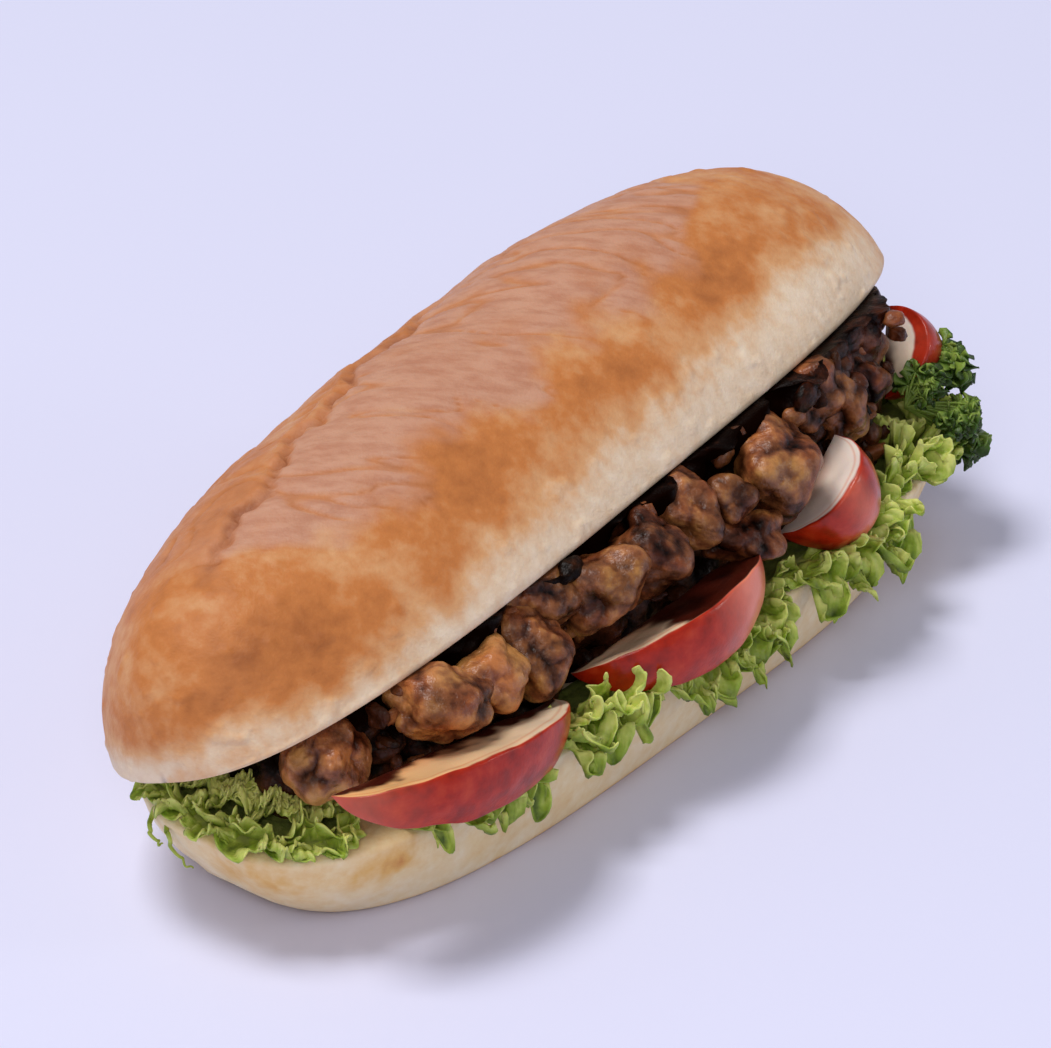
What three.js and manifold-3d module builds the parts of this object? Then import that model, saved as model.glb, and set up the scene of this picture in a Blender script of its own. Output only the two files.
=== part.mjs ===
// A long soft bread roll, cut lengthways and filled with fried chicken liver,
// tomato wedges and curly lettuce, with a sprig of parsley at its right end.
// Millimetres, +Z up, +X along the roll, -Y towards the open side with the filling.
// The finished group is moved so that the origin lies under the middle of the sandwich,
// on the surface that it rests on.

import * as THREE from "three";
import { mergeVertices } from "three/addons/utils/BufferGeometryUtils.js";
import Module from "manifold-3d";

const manifold = await Module();
manifold.setup();

const GAP = 0.35;

// The roll. Its plan is a superellipse whose left and right ends have their own exponents.
const ROLL_LENGTH = 230;
const ROLL_HALF_WIDTH = 40;
const LEFT_END_EXPONENT = 2.69;
const RIGHT_END_EXPONENT = 2.94;
const ROLL_BEND = 4.1;

// The top half is a dome that is turned up about its back edge, so that the front is open.
const TOP_HEIGHT = 41.7;
const TOP_SECTION_EXPONENT = 1.8;
const TOP_LEFT_FALL = 0.81;
const TOP_RIGHT_FALL = 1.18;
const TOP_OPENING = THREE.MathUtils.degToRad(23.3);
const TOP_YAW = THREE.MathUtils.degToRad(3.5);
const TOP_SET_BACK = 7.5;
const TOP_BACK_EDGE_Z = 24.8;
const TOP_END_RISE = 4.5;
const CRUST_UNEVENNESS = 0.35;

// A lengthways crack on the upper left. Its place round the dome rises to the right.
const CREASE_DEPTH = 1.4;
const CREASE_WIDTH = 2.6;
const CREASE_LEFT_X = -97;
const CREASE_RIGHT_X = 16;
const CREASE_FADE = 17;
const CREASE_ANGLE = THREE.MathUtils.degToRad(92);
const CREASE_ANGLE_RISE = THREE.MathUtils.degToRad(0.28);
const CREASE_MIDDLE_X = -20;

// The bottom half has a flat base, bulging sides and a cut face that rises to the back.
const BOTTOM_LENGTH = 220;
const BOTTOM_HEIGHT = 21.5;
const BOTTOM_BACK_HALF_WIDTH = 43.5;
const BASE_WIDTH_SHARE = 0.877;
const BASE_LENGTH_SHARE = 0.84;
const SIDE_EXPONENT = 1.31;
const CUT_FACE_SLOPE = 0.028;

// The curly lettuce: thin leaves on the cut face, with a frill past the edge of the roll.
const LEAF_THICKNESS = 1.0;
const LEAF_INSIDE = 13;
const LEAF_CLEAR_OF_EDGE = 1.6;
const LEAF_LIFT = GAP + LEAF_THICKNESS / 2 + 0.1;
const HANG_STEP = 2.5;
const FRILL_INSIDE = 4;
const FRILL_WAVE = 13;
const FRILL_DRIFT = 0.9;
const FRILL_DRIFT_RATE = 0.37;
const FRILL_SPREAD = 1.3;
const FRILL_SPREAD_RATE = 1.31;
const RIM_STEP = 4;

// The liver: a bed that runs through the roll, and the fried pieces that show at the front.
const BED_FRONT = 27;
const BED_BACK = 37;
const BED_HALF_LENGTH = 97;
const BED_SLACK = 1.8;
const BED_FLOOR = 2.6;
const BED_ROOF_Z = 70;
const BED_END_Z = 40;
const BED_BUMPS = [
  { size: 1.6, along: 0.22, up: 5 },
  { size: 1.1, along: 0.37, up: -9 },
];

const CRUST = { color: 0xb97a4e, roughness: 0.55 };
const PALE_CRUST = { color: 0xccb192, roughness: 0.7 };
const LETTUCE = { color: 0x6c8a2b, roughness: 0.5 };
const PARSLEY = { color: 0x2c4a14, roughness: 0.6 };
const TOMATO = { color: 0xa03222, roughness: 0.25 };
const LIVER = { color: 0x7a4b2e, roughness: 0.6 };
const LIVER_BED = { color: 0x4a2a1a, roughness: 0.7 };

const sandwich = new THREE.Group();

function addPiece(name, geometry, look) {
  const material = new THREE.MeshStandardMaterial({ ...look, metalness: 0 });
  const mesh = new THREE.Mesh(geometry, material);
  mesh.name = name;
  sandwich.add(mesh);
}

function clamp01(value) {
  return Math.min(Math.max(value, 0), 1);
}

// value to the power, with the sign of value kept
function signedPower(value, exponent) {
  return Math.sign(value) * Math.abs(value) ** exponent;
}

// A geometry from points and triangles, turned so that its faces point out.
function closedGeometry(points, triangles) {
  let volume = 0;
  for (const [a, b, c] of triangles) {
    volume += points[a].dot(new THREE.Vector3().crossVectors(points[b], points[c]));
  }
  const geometry = new THREE.BufferGeometry().setFromPoints(points);
  geometry.setIndex(triangles.flatMap(([a, b, c]) => (volume < 0 ? [a, c, b] : [a, b, c])));
  return geometry;
}

// Closed rings of equal point count, joined one to the next, and shut by a point at each end.
function loft(rings, startPoint, endPoint) {
  const count = rings[0].length;
  const points = [startPoint, ...rings.flat(), endPoint];
  const last = points.length - 1;
  const triangles = [];
  for (let side = 0; side < count; side++) {
    const next = (side + 1) % count;
    triangles.push([0, 1 + next, 1 + side]);
    for (let ring = 0; ring < rings.length - 1; ring++) {
      const a = 1 + ring * count + side;
      const b = 1 + ring * count + next;
      triangles.push([a, b, b + count], [a, b + count, a + count]);
    }
    triangles.push([last, last - count + side, last - count + next]);
  }
  return closedGeometry(points, triangles);
}

// A thin solid round the surface middle(u, v), both faces split into triangles alike.
function sheet(columns, rows, thickness, middle) {
  const step = 0.004;
  const faces = [[], []];
  for (let i = 0; i <= columns; i++) {
    for (let j = 0; j <= rows; j++) {
      const u = i / columns;
      const v = j / rows;
      const across = middle(u, v + step).sub(middle(u, v - step));
      const along = middle(u + step, v).sub(middle(u - step, v));
      const normal = along.cross(across).normalize();
      const point = middle(u, v);
      faces[0].push(point.clone().addScaledVector(normal, thickness / 2));
      faces[1].push(point.clone().addScaledVector(normal, -thickness / 2));
    }
  }
  const lower = faces[0].length;
  const at = (i, j) => i * (rows + 1) + j;
  const triangles = [];
  for (let i = 0; i < columns; i++) {
    for (let j = 0; j < rows; j++) {
      const corners = [at(i, j), at(i + 1, j), at(i + 1, j + 1), at(i, j + 1)];
      const [a, b, c, d] = corners;
      const [e, f, g, h] = corners.map((corner) => corner + lower);
      triangles.push([a, b, c], [a, c, d], [e, g, f], [e, h, g]);
    }
  }
  const border = [];
  for (let i = 0; i < columns; i++) {
    border.push([at(i, 0), at(i + 1, 0)], [at(i + 1, rows), at(i, rows)]);
  }
  for (let j = 0; j < rows; j++) {
    border.push([at(columns, j), at(columns, j + 1)], [at(0, j + 1), at(0, j)]);
  }
  for (const [a, b] of border) {
    triangles.push([a, a + lower, b + lower], [a, b + lower, b]);
  }
  return closedGeometry([...faces[0], ...faces[1]], triangles);
}

function toSolid(geometry) {
  const bare = geometry.clone();
  bare.deleteAttribute("normal");
  bare.deleteAttribute("uv");
  const merged = mergeVertices(bare, 1e-4);
  const vertProperties = new Float32Array(merged.attributes.position.array);
  const triVerts = new Uint32Array(merged.index.array);
  return new manifold.Manifold(new manifold.Mesh({ numProp: 3, vertProperties, triVerts }));
}

function toGeometry(solid) {
  const mesh = solid.getMesh();
  const geometry = new THREE.BufferGeometry();
  geometry.setAttribute("position", new THREE.BufferAttribute(mesh.vertProperties, mesh.numProp));
  geometry.setIndex([...mesh.triVerts]);
  return geometry;
}

// What is left of a solid after the cutters are taken away, without loose scraps.
function trimmed(solid, cutters) {
  const left = cutters.reduce((rest, cutter) => rest.subtract(cutter), solid);
  const pieces = left.decompose();
  return pieces.reduce((best, piece) => (piece.volume() > best.volume() ? piece : best));
}

// Half the roll's width at a share of its half length, from 1 in the middle to 0 at the ends.
function planShare(along) {
  const exponent = along < 0 ? LEFT_END_EXPONENT : RIGHT_END_EXPONENT;
  return (1 - Math.abs(along) ** exponent) ** (1 / exponent);
}

function bendAt(along) {
  return ROLL_BEND * (1 - along * along);
}

// Puts a point of the closed dome where the lifted top half has it.
function placeTop(x, y, z) {
  const lever = y - ROLL_HALF_WIDTH;
  const turnedY = lever * Math.cos(TOP_OPENING) + z * Math.sin(TOP_OPENING) + ROLL_HALF_WIDTH;
  const turnedZ = z * Math.cos(TOP_OPENING) - lever * Math.sin(TOP_OPENING);
  return new THREE.Vector3(
    x * Math.cos(TOP_YAW) - turnedY * Math.sin(TOP_YAW),
    x * Math.sin(TOP_YAW) + turnedY * Math.cos(TOP_YAW) + TOP_SET_BACK,
    turnedZ + TOP_BACK_EDGE_Z + (TOP_END_RISE * x) / (ROLL_LENGTH / 2),
  );
}

// How far the crust stands out: broad unevenness, and the lengthways crease.
function crustRelief(x, angle) {
  const broad = Math.sin(x * 0.071 + 3 * angle) + Math.sin(x * 0.113 - 2 * angle + 1.3);
  const creaseAngle = CREASE_ANGLE + CREASE_ANGLE_RISE * (x - CREASE_MIDDLE_X);
  const arc = (angle - creaseAngle) * TOP_HEIGHT;
  const fromLeft = clamp01((x - CREASE_LEFT_X) / CREASE_FADE);
  const fromRight = clamp01((CREASE_RIGHT_X - x) / CREASE_FADE);
  const crease = CREASE_DEPTH * fromLeft * fromRight * Math.exp(-((arc / CREASE_WIDTH) ** 2));
  return 0.5 * CRUST_UNEVENNESS * broad - crease;
}

function buildRollTop() {
  const stations = 40;
  const domePoints = 18;
  const facePoints = 4;
  const rings = [];
  for (let i = 1; i < stations; i++) {
    const along = Math.sin((i / stations - 0.5) * Math.PI);
    const x = (along * ROLL_LENGTH) / 2;
    const share = planShare(along);
    const halfWidth = ROLL_HALF_WIDTH * share;
    const height = TOP_HEIGHT * share ** (along < 0 ? TOP_LEFT_FALL : TOP_RIGHT_FALL);
    const ring = [];
    for (let j = 0; j <= domePoints; j++) {
      const angle = (Math.PI * j) / domePoints;
      const out = 1 + (crustRelief(x, angle) * Math.sin(angle) * share) / TOP_HEIGHT;
      const y = -halfWidth * signedPower(Math.cos(angle), 2 / TOP_SECTION_EXPONENT) * out;
      const z = height * Math.sin(angle) ** (2 / TOP_SECTION_EXPONENT) * out;
      ring.push(placeTop(x, y + bendAt(along), z));
    }
    for (let j = 1; j < facePoints; j++) {
      const y = halfWidth * (1 - (2 * j) / facePoints);
      ring.push(placeTop(x, y + bendAt(along), 0));
    }
    rings.push(ring);
  }
  return loft(rings, placeTop(-ROLL_LENGTH / 2, 0, 0), placeTop(ROLL_LENGTH / 2, 0, 0));
}

// The height of the bottom half's cut face.
function cutFaceZ(y) {
  return BOTTOM_HEIGHT + CUT_FACE_SLOPE * (y + ROLL_HALF_WIDTH - ROLL_BEND);
}

// A point of the bottom half's outline. The angle starts at the left end and passes the front.
function bottomOutline(angle, widthShare, lengthShare) {
  const exponent = Math.cos(angle) > 0 ? LEFT_END_EXPONENT : RIGHT_END_EXPONENT;
  const along = -signedPower(Math.cos(angle), 2 / exponent);
  const side = signedPower(Math.sin(angle), 2 / exponent);
  const halfWidth = side > 0 ? ROLL_HALF_WIDTH : BOTTOM_BACK_HALF_WIDTH;
  return new THREE.Vector2(
    (along * lengthShare * BOTTOM_LENGTH) / 2,
    -side * widthShare * halfWidth + bendAt(along),
  );
}

// grow makes the space that other pieces keep clear of.
function buildRollBottom(grow) {
  const sides = 52;
  const levels = 6;
  const rings = [];
  for (let level = 0; level <= levels; level++) {
    const rise = level / levels;
    const bulge = (1 - (1 - rise) ** SIDE_EXPONENT) ** (1 / SIDE_EXPONENT);
    const wider = 1 + grow / ROLL_HALF_WIDTH;
    const longer = 1 + (2 * grow) / BOTTOM_LENGTH;
    const widthShare = wider * (BASE_WIDTH_SHARE + (1 - BASE_WIDTH_SHARE) * bulge);
    const lengthShare = longer * (BASE_LENGTH_SHARE + (1 - BASE_LENGTH_SHARE) * bulge);
    const ring = [];
    for (let side = 0; side < sides; side++) {
      const spot = bottomOutline((2 * Math.PI * (side + 0.5)) / sides, widthShare, lengthShare);
      ring.push(new THREE.Vector3(spot.x, spot.y, rise * (cutFaceZ(spot.y) + grow)));
    }
    rings.push(ring);
  }
  const base = new THREE.Vector3(0, ROLL_BEND, 0);
  const face = new THREE.Vector3(0, ROLL_BEND, cutFaceZ(ROLL_BEND) + grow);
  return loft(rings, base, face);
}

// The cut face's edge, measured along its length from the left end round by the front.
function measureRim() {
  const samples = [];
  let length = 0;
  const steps = 900;
  for (let i = 0; i <= steps; i++) {
    const angle = THREE.MathUtils.degToRad(-80 + (340 * i) / steps);
    const spot = bottomOutline(angle, 1, 1);
    length += i > 0 ? spot.distanceTo(samples[i - 1].spot) : 0;
    samples.push({ angle, spot, length });
  }
  const start = samples.find((sample) => sample.angle >= 0).length;
  return samples.map((sample) => ({ ...sample, length: sample.length - start }));
}

const rimSamples = measureRim();

function rimPoint(length) {
  const next = Math.max(1, rimSamples.findIndex((sample) => sample.length > length));
  const a = rimSamples[next - 1];
  const b = rimSamples[next];
  return a.spot.clone().lerp(b.spot, (length - a.length) / (b.length - a.length));
}

// How far along the front edge the roll reaches a given x.
function rimLengthAt(x) {
  return rimSamples.find((sample) => sample.length > 0 && sample.spot.x >= x).length;
}

function rimOutward(length) {
  const along = rimPoint(length + RIM_STEP).sub(rimPoint(length - RIM_STEP));
  return new THREE.Vector2(along.y, -along.x).normalize();
}

// A leaf lies on the cut face, and its frill waves up and down past the edge of the roll.
// lift is the height that the frill gains, or loses where it hangs.
function leafSurface(leaf) {
  return (u, v) => {
    const length = leaf.from + (leaf.to - leaf.from) * u;
    const spot = rimPoint(length);
    const outward = rimOutward(length);
    const beyond = -LEAF_INSIDE + v * (LEAF_INSIDE + leaf.reach);
    const out = clamp01((beyond + FRILL_INSIDE) / (leaf.reach + FRILL_INSIDE));
    const hanging = clamp01((beyond - LEAF_CLEAR_OF_EDGE) / HANG_STEP);
    const phase = (2 * Math.PI * length) / FRILL_WAVE;
    const drift = FRILL_DRIFT * Math.sin(phase * FRILL_DRIFT_RATE);
    const wave = Math.sin(phase + leaf.phase + drift);
    const height = (leaf.lift + leaf.frill * wave) * out;
    const sway = Math.cos(phase * FRILL_SPREAD_RATE + leaf.phase);
    const spread = beyond + FRILL_SPREAD * out * sway;
    const y = spot.y + outward.y * spread;
    const rest = cutFaceZ(y) + LEAF_LIFT;
    const z = rest + (height > 0 ? height : height * hanging);
    return new THREE.Vector3(spot.x + outward.x * spread, y, z);
  };
}

const rightEndLength = rimLengthAt(BOTTOM_LENGTH / 2 - 0.05);

const leaves = [
  { from: -24, to: rimLengthAt(-92), reach: 2, lift: 1, frill: 3, phase: 0.4 },
  { from: rimLengthAt(-90.5), to: rimLengthAt(-50), reach: 4.5, lift: 0, frill: 4.5, phase: 1.9 },
  { from: rimLengthAt(-48.5), to: rimLengthAt(-17), reach: 7, lift: 3, frill: 7.5, phase: 0.2 },
  { from: rimLengthAt(-15.5), to: rimLengthAt(28), reach: 7.5, lift: -1.5, frill: 5, phase: 2.6 },
  { from: rimLengthAt(29.5), to: rimLengthAt(72), reach: 7, lift: 0, frill: 5, phase: 1.2 },
  { from: rimLengthAt(73.5), to: rightEndLength + 4, reach: 3.5, lift: 3, frill: 5, phase: 3.0 },
];

function leafSolid(leaf, thickness) {
  const columns = Math.round((leaf.to - leaf.from) / 2.3);
  return toSolid(sheet(columns, 5, thickness, leafSurface(leaf)));
}

// How much further than its sides the pointed ends of a wedge's space are moved out.
const WEDGE_END_SLACK = 1.5;

// A tomato wedge: a sector of an ellipsoid, seen along its core line. middle is the middle of
// the core line, yaw and pitch turn it, and facing is how far its upper cut face dips forward.
const wedges = [
  { middle: [-71, -28, 34.5], yaw: -4, pitch: -7, facing: -20, open: 47, half: 31, radius: 16.5 },
  { middle: [-4.5, -28.5, 32.3], yaw: -4, pitch: 5, facing: -28, open: 50, half: 26, radius: 17 },
  { middle: [47.5, -27, 36], yaw: 5, pitch: 32, facing: -31, open: 67, half: 12.5, radius: 15.8 },
  { middle: [97, -11.3, 39.5], yaw: 37, pitch: 44, facing: -44, open: 90, half: 10.2, radius: 12.3 },
];

function wedgeSolid(wedge, grow) {
  const half = THREE.MathUtils.degToRad(wedge.open / 2);
  const setBack = grow / Math.sin(half);
  const radius = wedge.radius + grow + setBack;
  const length = wedge.half + WEDGE_END_SLACK * grow;
  const arcPoints = 6;
  const stations = 12;
  const facing = THREE.MathUtils.degToRad(wedge.facing);
  const middleAngle = facing + half;
  const turn = new THREE.Euler(
    0,
    THREE.MathUtils.degToRad(-wedge.pitch),
    THREE.MathUtils.degToRad(wedge.yaw),
    "ZYX",
  );
  const place = (x, reach, angle) => {
    const y = -reach * Math.cos(angle) + setBack * Math.cos(middleAngle);
    const z = -reach * Math.sin(angle) + setBack * Math.sin(middleAngle);
    return new THREE.Vector3(x, y, z).applyEuler(turn).add(new THREE.Vector3(...wedge.middle));
  };
  const rings = [];
  for (let i = 1; i < stations; i++) {
    const latitude = Math.PI * (i / stations - 0.5);
    const x = length * Math.sin(latitude);
    const reach = radius * Math.cos(latitude);
    const ring = [place(x, 0, 0), place(x, reach / 2, facing)];
    for (let j = 0; j <= arcPoints; j++) {
      ring.push(place(x, reach, facing + (2 * half * j) / arcPoints));
    }
    ring.push(place(x, reach / 2, facing + 2 * half));
    rings.push(ring);
  }
  return toSolid(loft(rings, place(-length, 0, 0), place(length, 0, 0)));
}

// A fried piece of liver: an ellipsoid with uneven lobes. Each piece has its own phase.
const chunks = [
  { middle: [-91, -16, 37], radii: [9, 8, 8], yaw: 20 },
  { middle: [-70, -26, 43], radii: [11, 8, 7.5], yaw: -30 },
  { middle: [-56, -26, 42.5], radii: [8.5, 7, 6.5], yaw: 10 },
  { middle: [-42, -25, 41], radii: [9, 8, 8], yaw: 60 },
  { middle: [-34, -21, 47], radii: [8.5, 7, 7], yaw: -10 },
  { middle: [-20, -26, 45], radii: [9.5, 9, 8], yaw: 40 },
  { middle: [-6, -27, 47], radii: [8, 8, 7.5], yaw: 15 },
  { middle: [9, -24, 47], radii: [8, 7.5, 7.5], yaw: 70 },
  { middle: [19, -28, 46], radii: [5.2, 5, 5], yaw: 0 },
  { middle: [20, -32, 39], radii: [9, 5.5, 4.5], yaw: -25 },
  { middle: [36, -26, 46], radii: [11, 9, 9.5], yaw: 30 },
  { middle: [57, -18, 49], radii: [8.5, 7.5, 7.5], yaw: -20 },
  { middle: [64.5, -23, 44], radii: [6.5, 5.5, 8.5], yaw: 15 },
  { middle: [83.5, -12, 47.5], radii: [7.5, 6.5, 8], yaw: 35 },
  { middle: [77, -18.5, 44.5], radii: [5.5, 5, 6], yaw: 80 },
];

const lobes = [
  { along: new THREE.Vector3(2.5, 1.6, 1.0), size: 0.14, phase: 1.7 },
  { along: new THREE.Vector3(-1.9, 3.3, 2.8), size: 0.1, phase: 2.9 },
  { along: new THREE.Vector3(3.1, -3.8, 3.9), size: 0.07, phase: 4.1 },
];

function chunkSolid(chunk, index, grow, detail) {
  const ball = mergeVertices(bareSphere(detail));
  const turn = THREE.MathUtils.degToRad(chunk.yaw);
  const positions = ball.attributes.position;
  for (let i = 0; i < positions.count; i++) {
    const point = new THREE.Vector3().fromBufferAttribute(positions, i).normalize();
    const uneven = lobes.reduce(
      (sum, lobe) => sum + lobe.size * Math.sin(lobe.along.dot(point) + lobe.phase * index),
      1,
    );
    const radii = new THREE.Vector3(...chunk.radii).multiplyScalar(uneven).addScalar(grow);
    point.multiply(radii).applyAxisAngle(new THREE.Vector3(0, 0, 1), turn);
    point.add(new THREE.Vector3(...chunk.middle));
    positions.setXYZ(i, point.x, point.y, point.z);
  }
  return toSolid(ball);
}

function bareSphere(detail) {
  const ball = new THREE.IcosahedronGeometry(1, detail);
  ball.deleteAttribute("normal");
  ball.deleteAttribute("uv");
  return ball;
}

// The space that the top half takes: everything over its cut face, less a small gap.
function spaceOfTop() {
  const block = new THREE.BoxGeometry(2 * ROLL_LENGTH, 2 * ROLL_LENGTH, ROLL_LENGTH);
  const positions = block.attributes.position;
  for (let i = 0; i < positions.count; i++) {
    const z = positions.getZ(i) + ROLL_LENGTH / 2 - GAP;
    const point = placeTop(positions.getX(i), positions.getY(i), z);
    positions.setXYZ(i, point.x, point.y, point.z);
  }
  return toSolid(block);
}

// The bed is a wedge with a bumpy front. Its roof is later cut to the top half's cut face.
function bedSolid() {
  const stations = 22;
  const floorPoints = 2;
  const frontPoints = 5;
  const rings = [];
  for (let i = 1; i < stations; i++) {
    const along = Math.sin((i / stations - 0.5) * Math.PI);
    const share = planShare(along);
    const x = along * BED_HALF_LENGTH;
    const bend = bendAt(along);
    const front = -BED_FRONT * share + bend;
    const back = BED_BACK * share + bend;
    const ring = [];
    for (let j = 0; j < floorPoints; j++) {
      const y = THREE.MathUtils.lerp(back, front, j / floorPoints);
      ring.push(new THREE.Vector3(x, y, cutFaceZ(y) + BED_FLOOR));
    }
    for (let j = 0; j <= frontPoints; j++) {
      const rise = j / frontPoints;
      const bump = BED_BUMPS.reduce(
        (sum, { size, along: rate, up }) => sum + size * Math.sin(rate * x + up * rise),
        0,
      );
      const z = THREE.MathUtils.lerp(cutFaceZ(front) + BED_FLOOR, BED_ROOF_Z, rise);
      ring.push(new THREE.Vector3(x, front + bump * share, z));
    }
    ring.push(new THREE.Vector3(x, back, BED_ROOF_Z));
    rings.push(ring);
  }
  const end = (side) => new THREE.Vector3(side * BED_HALF_LENGTH, 0, BED_END_Z);
  return toSolid(loft(rings, end(-1), end(1)));
}

// The parsley: a thin stem that forks into curled leaflets.
const PARSLEY_ROOT = new THREE.Vector3(90, -22, 33);
const STALK_RADIUS = 1.0;
const LEAFLET_THICKNESS = 1.1;
const LEAFLET_FAN = THREE.MathUtils.degToRad(306);
const leaflets = [
  { tip: [94, -23.5, 37.5], size: 5.5, turn: 0.2 },
  { tip: [104, -22.5, 38], size: 6.5, turn: 1.4 },
  { tip: [97, -31, 32], size: 6, turn: 2.5 },
  { tip: [105, -28.5, 19], size: 6.5, turn: 3.1 },
];

function stemSolid(from, to, radius) {
  const bow = from.clone().lerp(to, 0.5).add(new THREE.Vector3(0, 0, 1.5));
  const route = new THREE.QuadraticBezierCurve3(from, bow, to);
  const section = new THREE.Shape();
  section.absarc(0, 0, radius, 0, 2 * Math.PI);
  const options = { steps: 2, curveSegments: 3, bevelEnabled: false, extrudePath: route };
  return toSolid(new THREE.ExtrudeGeometry(section, options));
}

function leafletSolid(leaflet) {
  const tip = new THREE.Vector3(...leaflet.tip);
  const outward = tip.clone().sub(PARSLEY_ROOT).normalize();
  const sideways = outward.clone().cross(new THREE.Vector3(0, 0, 1)).normalize();
  const up = sideways.clone().cross(outward).normalize();
  const surface = (u, v) => {
    const angle = (u - 0.5) * LEAFLET_FAN;
    const reach = leaflet.size * (0.12 + 0.88 * v) * (1 + 0.12 * Math.cos(7 * angle));
    const curl = 0.32 * leaflet.size * v * Math.sin(4 * angle + leaflet.turn);
    return tip.clone()
      .addScaledVector(outward, reach * Math.cos(angle) * 0.8)
      .addScaledVector(sideways, reach * Math.sin(angle))
      .addScaledVector(up, curl - 0.2 * reach * v);
  };
  return toSolid(sheet(12, 1, LEAFLET_THICKNESS, surface));
}

function parsleySolid() {
  const tips = leaflets.map((leaflet) => new THREE.Vector3(...leaflet.tip));
  const reached = tips.map((tip) => tip.lerp(PARSLEY_ROOT, -0.15));
  const twigs = reached.map((tip) => stemSolid(PARSLEY_ROOT, tip, STALK_RADIUS));
  const parts = [...twigs, ...leaflets.map(leafletSolid)];
  return parts.reduce((whole, part) => whole.add(part));
}

addPiece("roll_top", buildRollTop(), CRUST);

// The bottom half is cut back where the top half presses on its back edge.
const topSpace = spaceOfTop();
const rollBottom = trimmed(toSolid(buildRollBottom(0)), [topSpace]);
addPiece("roll_bottom", toGeometry(rollBottom), PALE_CRUST);

const wedgeSpaces = wedges.map((wedge) => wedgeSolid(wedge, GAP));
wedges.forEach((wedge, index) => {
  const solid = trimmed(wedgeSolid(wedge, 0), [topSpace]);
  addPiece(`tomato_${index + 1}`, toGeometry(solid), TOMATO);
});

const bottomSpace = toSolid(buildRollBottom(GAP));
const leafSpaces = leaves.map((leaf) => leafSolid(leaf, LEAF_THICKNESS + 2 * GAP));
leaves.forEach((leaf, index) => {
  const solid = trimmed(leafSolid(leaf, LEAF_THICKNESS), [bottomSpace, ...wedgeSpaces]);
  addPiece(`lettuce_${index + 1}`, toGeometry(solid), LETTUCE);
});

const chunkSpaces = chunks.map((chunk, index) => chunkSolid(chunk, index, GAP, 2));
chunks.forEach((chunk, index) => {
  const earlier = chunkSpaces.slice(0, index);
  const cutters = [topSpace, ...wedgeSpaces, ...earlier];
  const solid = trimmed(chunkSolid(chunk, index, 0, 2), cutters);
  addPiece(`liver_${String(index + 1).padStart(2, "0")}`, toGeometry(solid), LIVER);
});

// The bed keeps a little further from the pieces, so that their plain outlines can cut it.
const hollows = chunks.map((chunk, index) => chunkSolid(chunk, index, GAP + BED_SLACK, 1));
const bed = trimmed(bedSolid(), [topSpace, ...wedgeSpaces, ...leafSpaces, ...hollows]);
addPiece("liver_bed", toGeometry(bed), LIVER_BED);

const parsley = trimmed(parsleySolid(), [...wedgeSpaces, ...leafSpaces, ...chunkSpaces]);
addPiece("parsley", toGeometry(parsley), PARSLEY);

// Move the sandwich so that the origin is under its middle.
const box = new THREE.Box3().setFromObject(sandwich);
const middle = box.getCenter(new THREE.Vector3());
sandwich.position.set(-middle.x, -middle.y, -box.min.z);
sandwich.updateMatrixWorld(true);

export default sandwich;
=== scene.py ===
"""A long soft roll filled with fried chicken liver, tomato wedges and curly lettuce.

Shapes are worked out in millimetres, in the roll's own axes: X along the roll, -Y towards
the open side, Z up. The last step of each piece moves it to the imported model's origin.
"""

import math
from itertools import product

import bpy
import numpy as np
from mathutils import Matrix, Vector


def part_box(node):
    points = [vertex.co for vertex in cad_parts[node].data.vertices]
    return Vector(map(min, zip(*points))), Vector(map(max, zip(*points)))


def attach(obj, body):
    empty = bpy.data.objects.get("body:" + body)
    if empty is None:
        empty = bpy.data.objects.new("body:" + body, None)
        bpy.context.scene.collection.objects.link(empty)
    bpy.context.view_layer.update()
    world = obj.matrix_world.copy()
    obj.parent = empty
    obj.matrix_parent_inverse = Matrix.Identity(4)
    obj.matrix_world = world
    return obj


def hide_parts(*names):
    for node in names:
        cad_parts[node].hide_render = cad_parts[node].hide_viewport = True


bl_info = {
    "name": "Chicken liver sandwich",
    "version": (1, 0, 0),
    "blender": (4, 5, 0),
    "location": "3D View > Sidebar > Sandwich",
    "description": "Builds a long roll filled with fried liver, tomato and lettuce",
    "category": "Object",
}

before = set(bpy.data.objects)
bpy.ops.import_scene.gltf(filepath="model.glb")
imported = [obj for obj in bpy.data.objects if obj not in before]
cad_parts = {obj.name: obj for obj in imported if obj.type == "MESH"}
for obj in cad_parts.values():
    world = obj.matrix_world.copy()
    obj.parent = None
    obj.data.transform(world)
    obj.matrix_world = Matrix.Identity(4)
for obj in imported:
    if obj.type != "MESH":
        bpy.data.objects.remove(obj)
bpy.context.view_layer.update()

MM = 0.001
# The clear space in millimetres under the top half's cut face, and the one over the liver,
# which the top half presses on.
GAP = 0.35
PRESSED_GAP = 0.1
# The sockets of a Mix node for colours: three that go in and one that comes out.
FACTOR, FIRST, SECOND, MIXED = 0, 6, 7, 2

# The roll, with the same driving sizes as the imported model.
ROLL_HALF_LENGTH = 115.0
HALF_WIDTH = 40.0
LEFT_END_EXPONENT = 2.69
RIGHT_END_EXPONENT = 2.94
ROLL_BEND = 4.1
TOP_HEIGHT = 41.7
TOP_SECTION_EXPONENT = 1.8
TOP_LEFT_FALL = 0.81
TOP_RIGHT_FALL = 1.18
TOP_OPENING = math.radians(23.3)
TOP_YAW = math.radians(3.5)
TOP_SET_BACK = 7.5
TOP_BACK_EDGE_Z = 24.8
TOP_END_RISE = 4.5
BOTTOM_HALF_LENGTH = 110.0
BOTTOM_HEIGHT = 21.5
BOTTOM_BACK_HALF_WIDTH = 43.5
BASE_WIDTH_SHARE = 0.877
BASE_LENGTH_SHARE = 0.84
SIDE_EXPONENT = 1.31
CUT_FACE_SLOPE = 0.028
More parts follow.
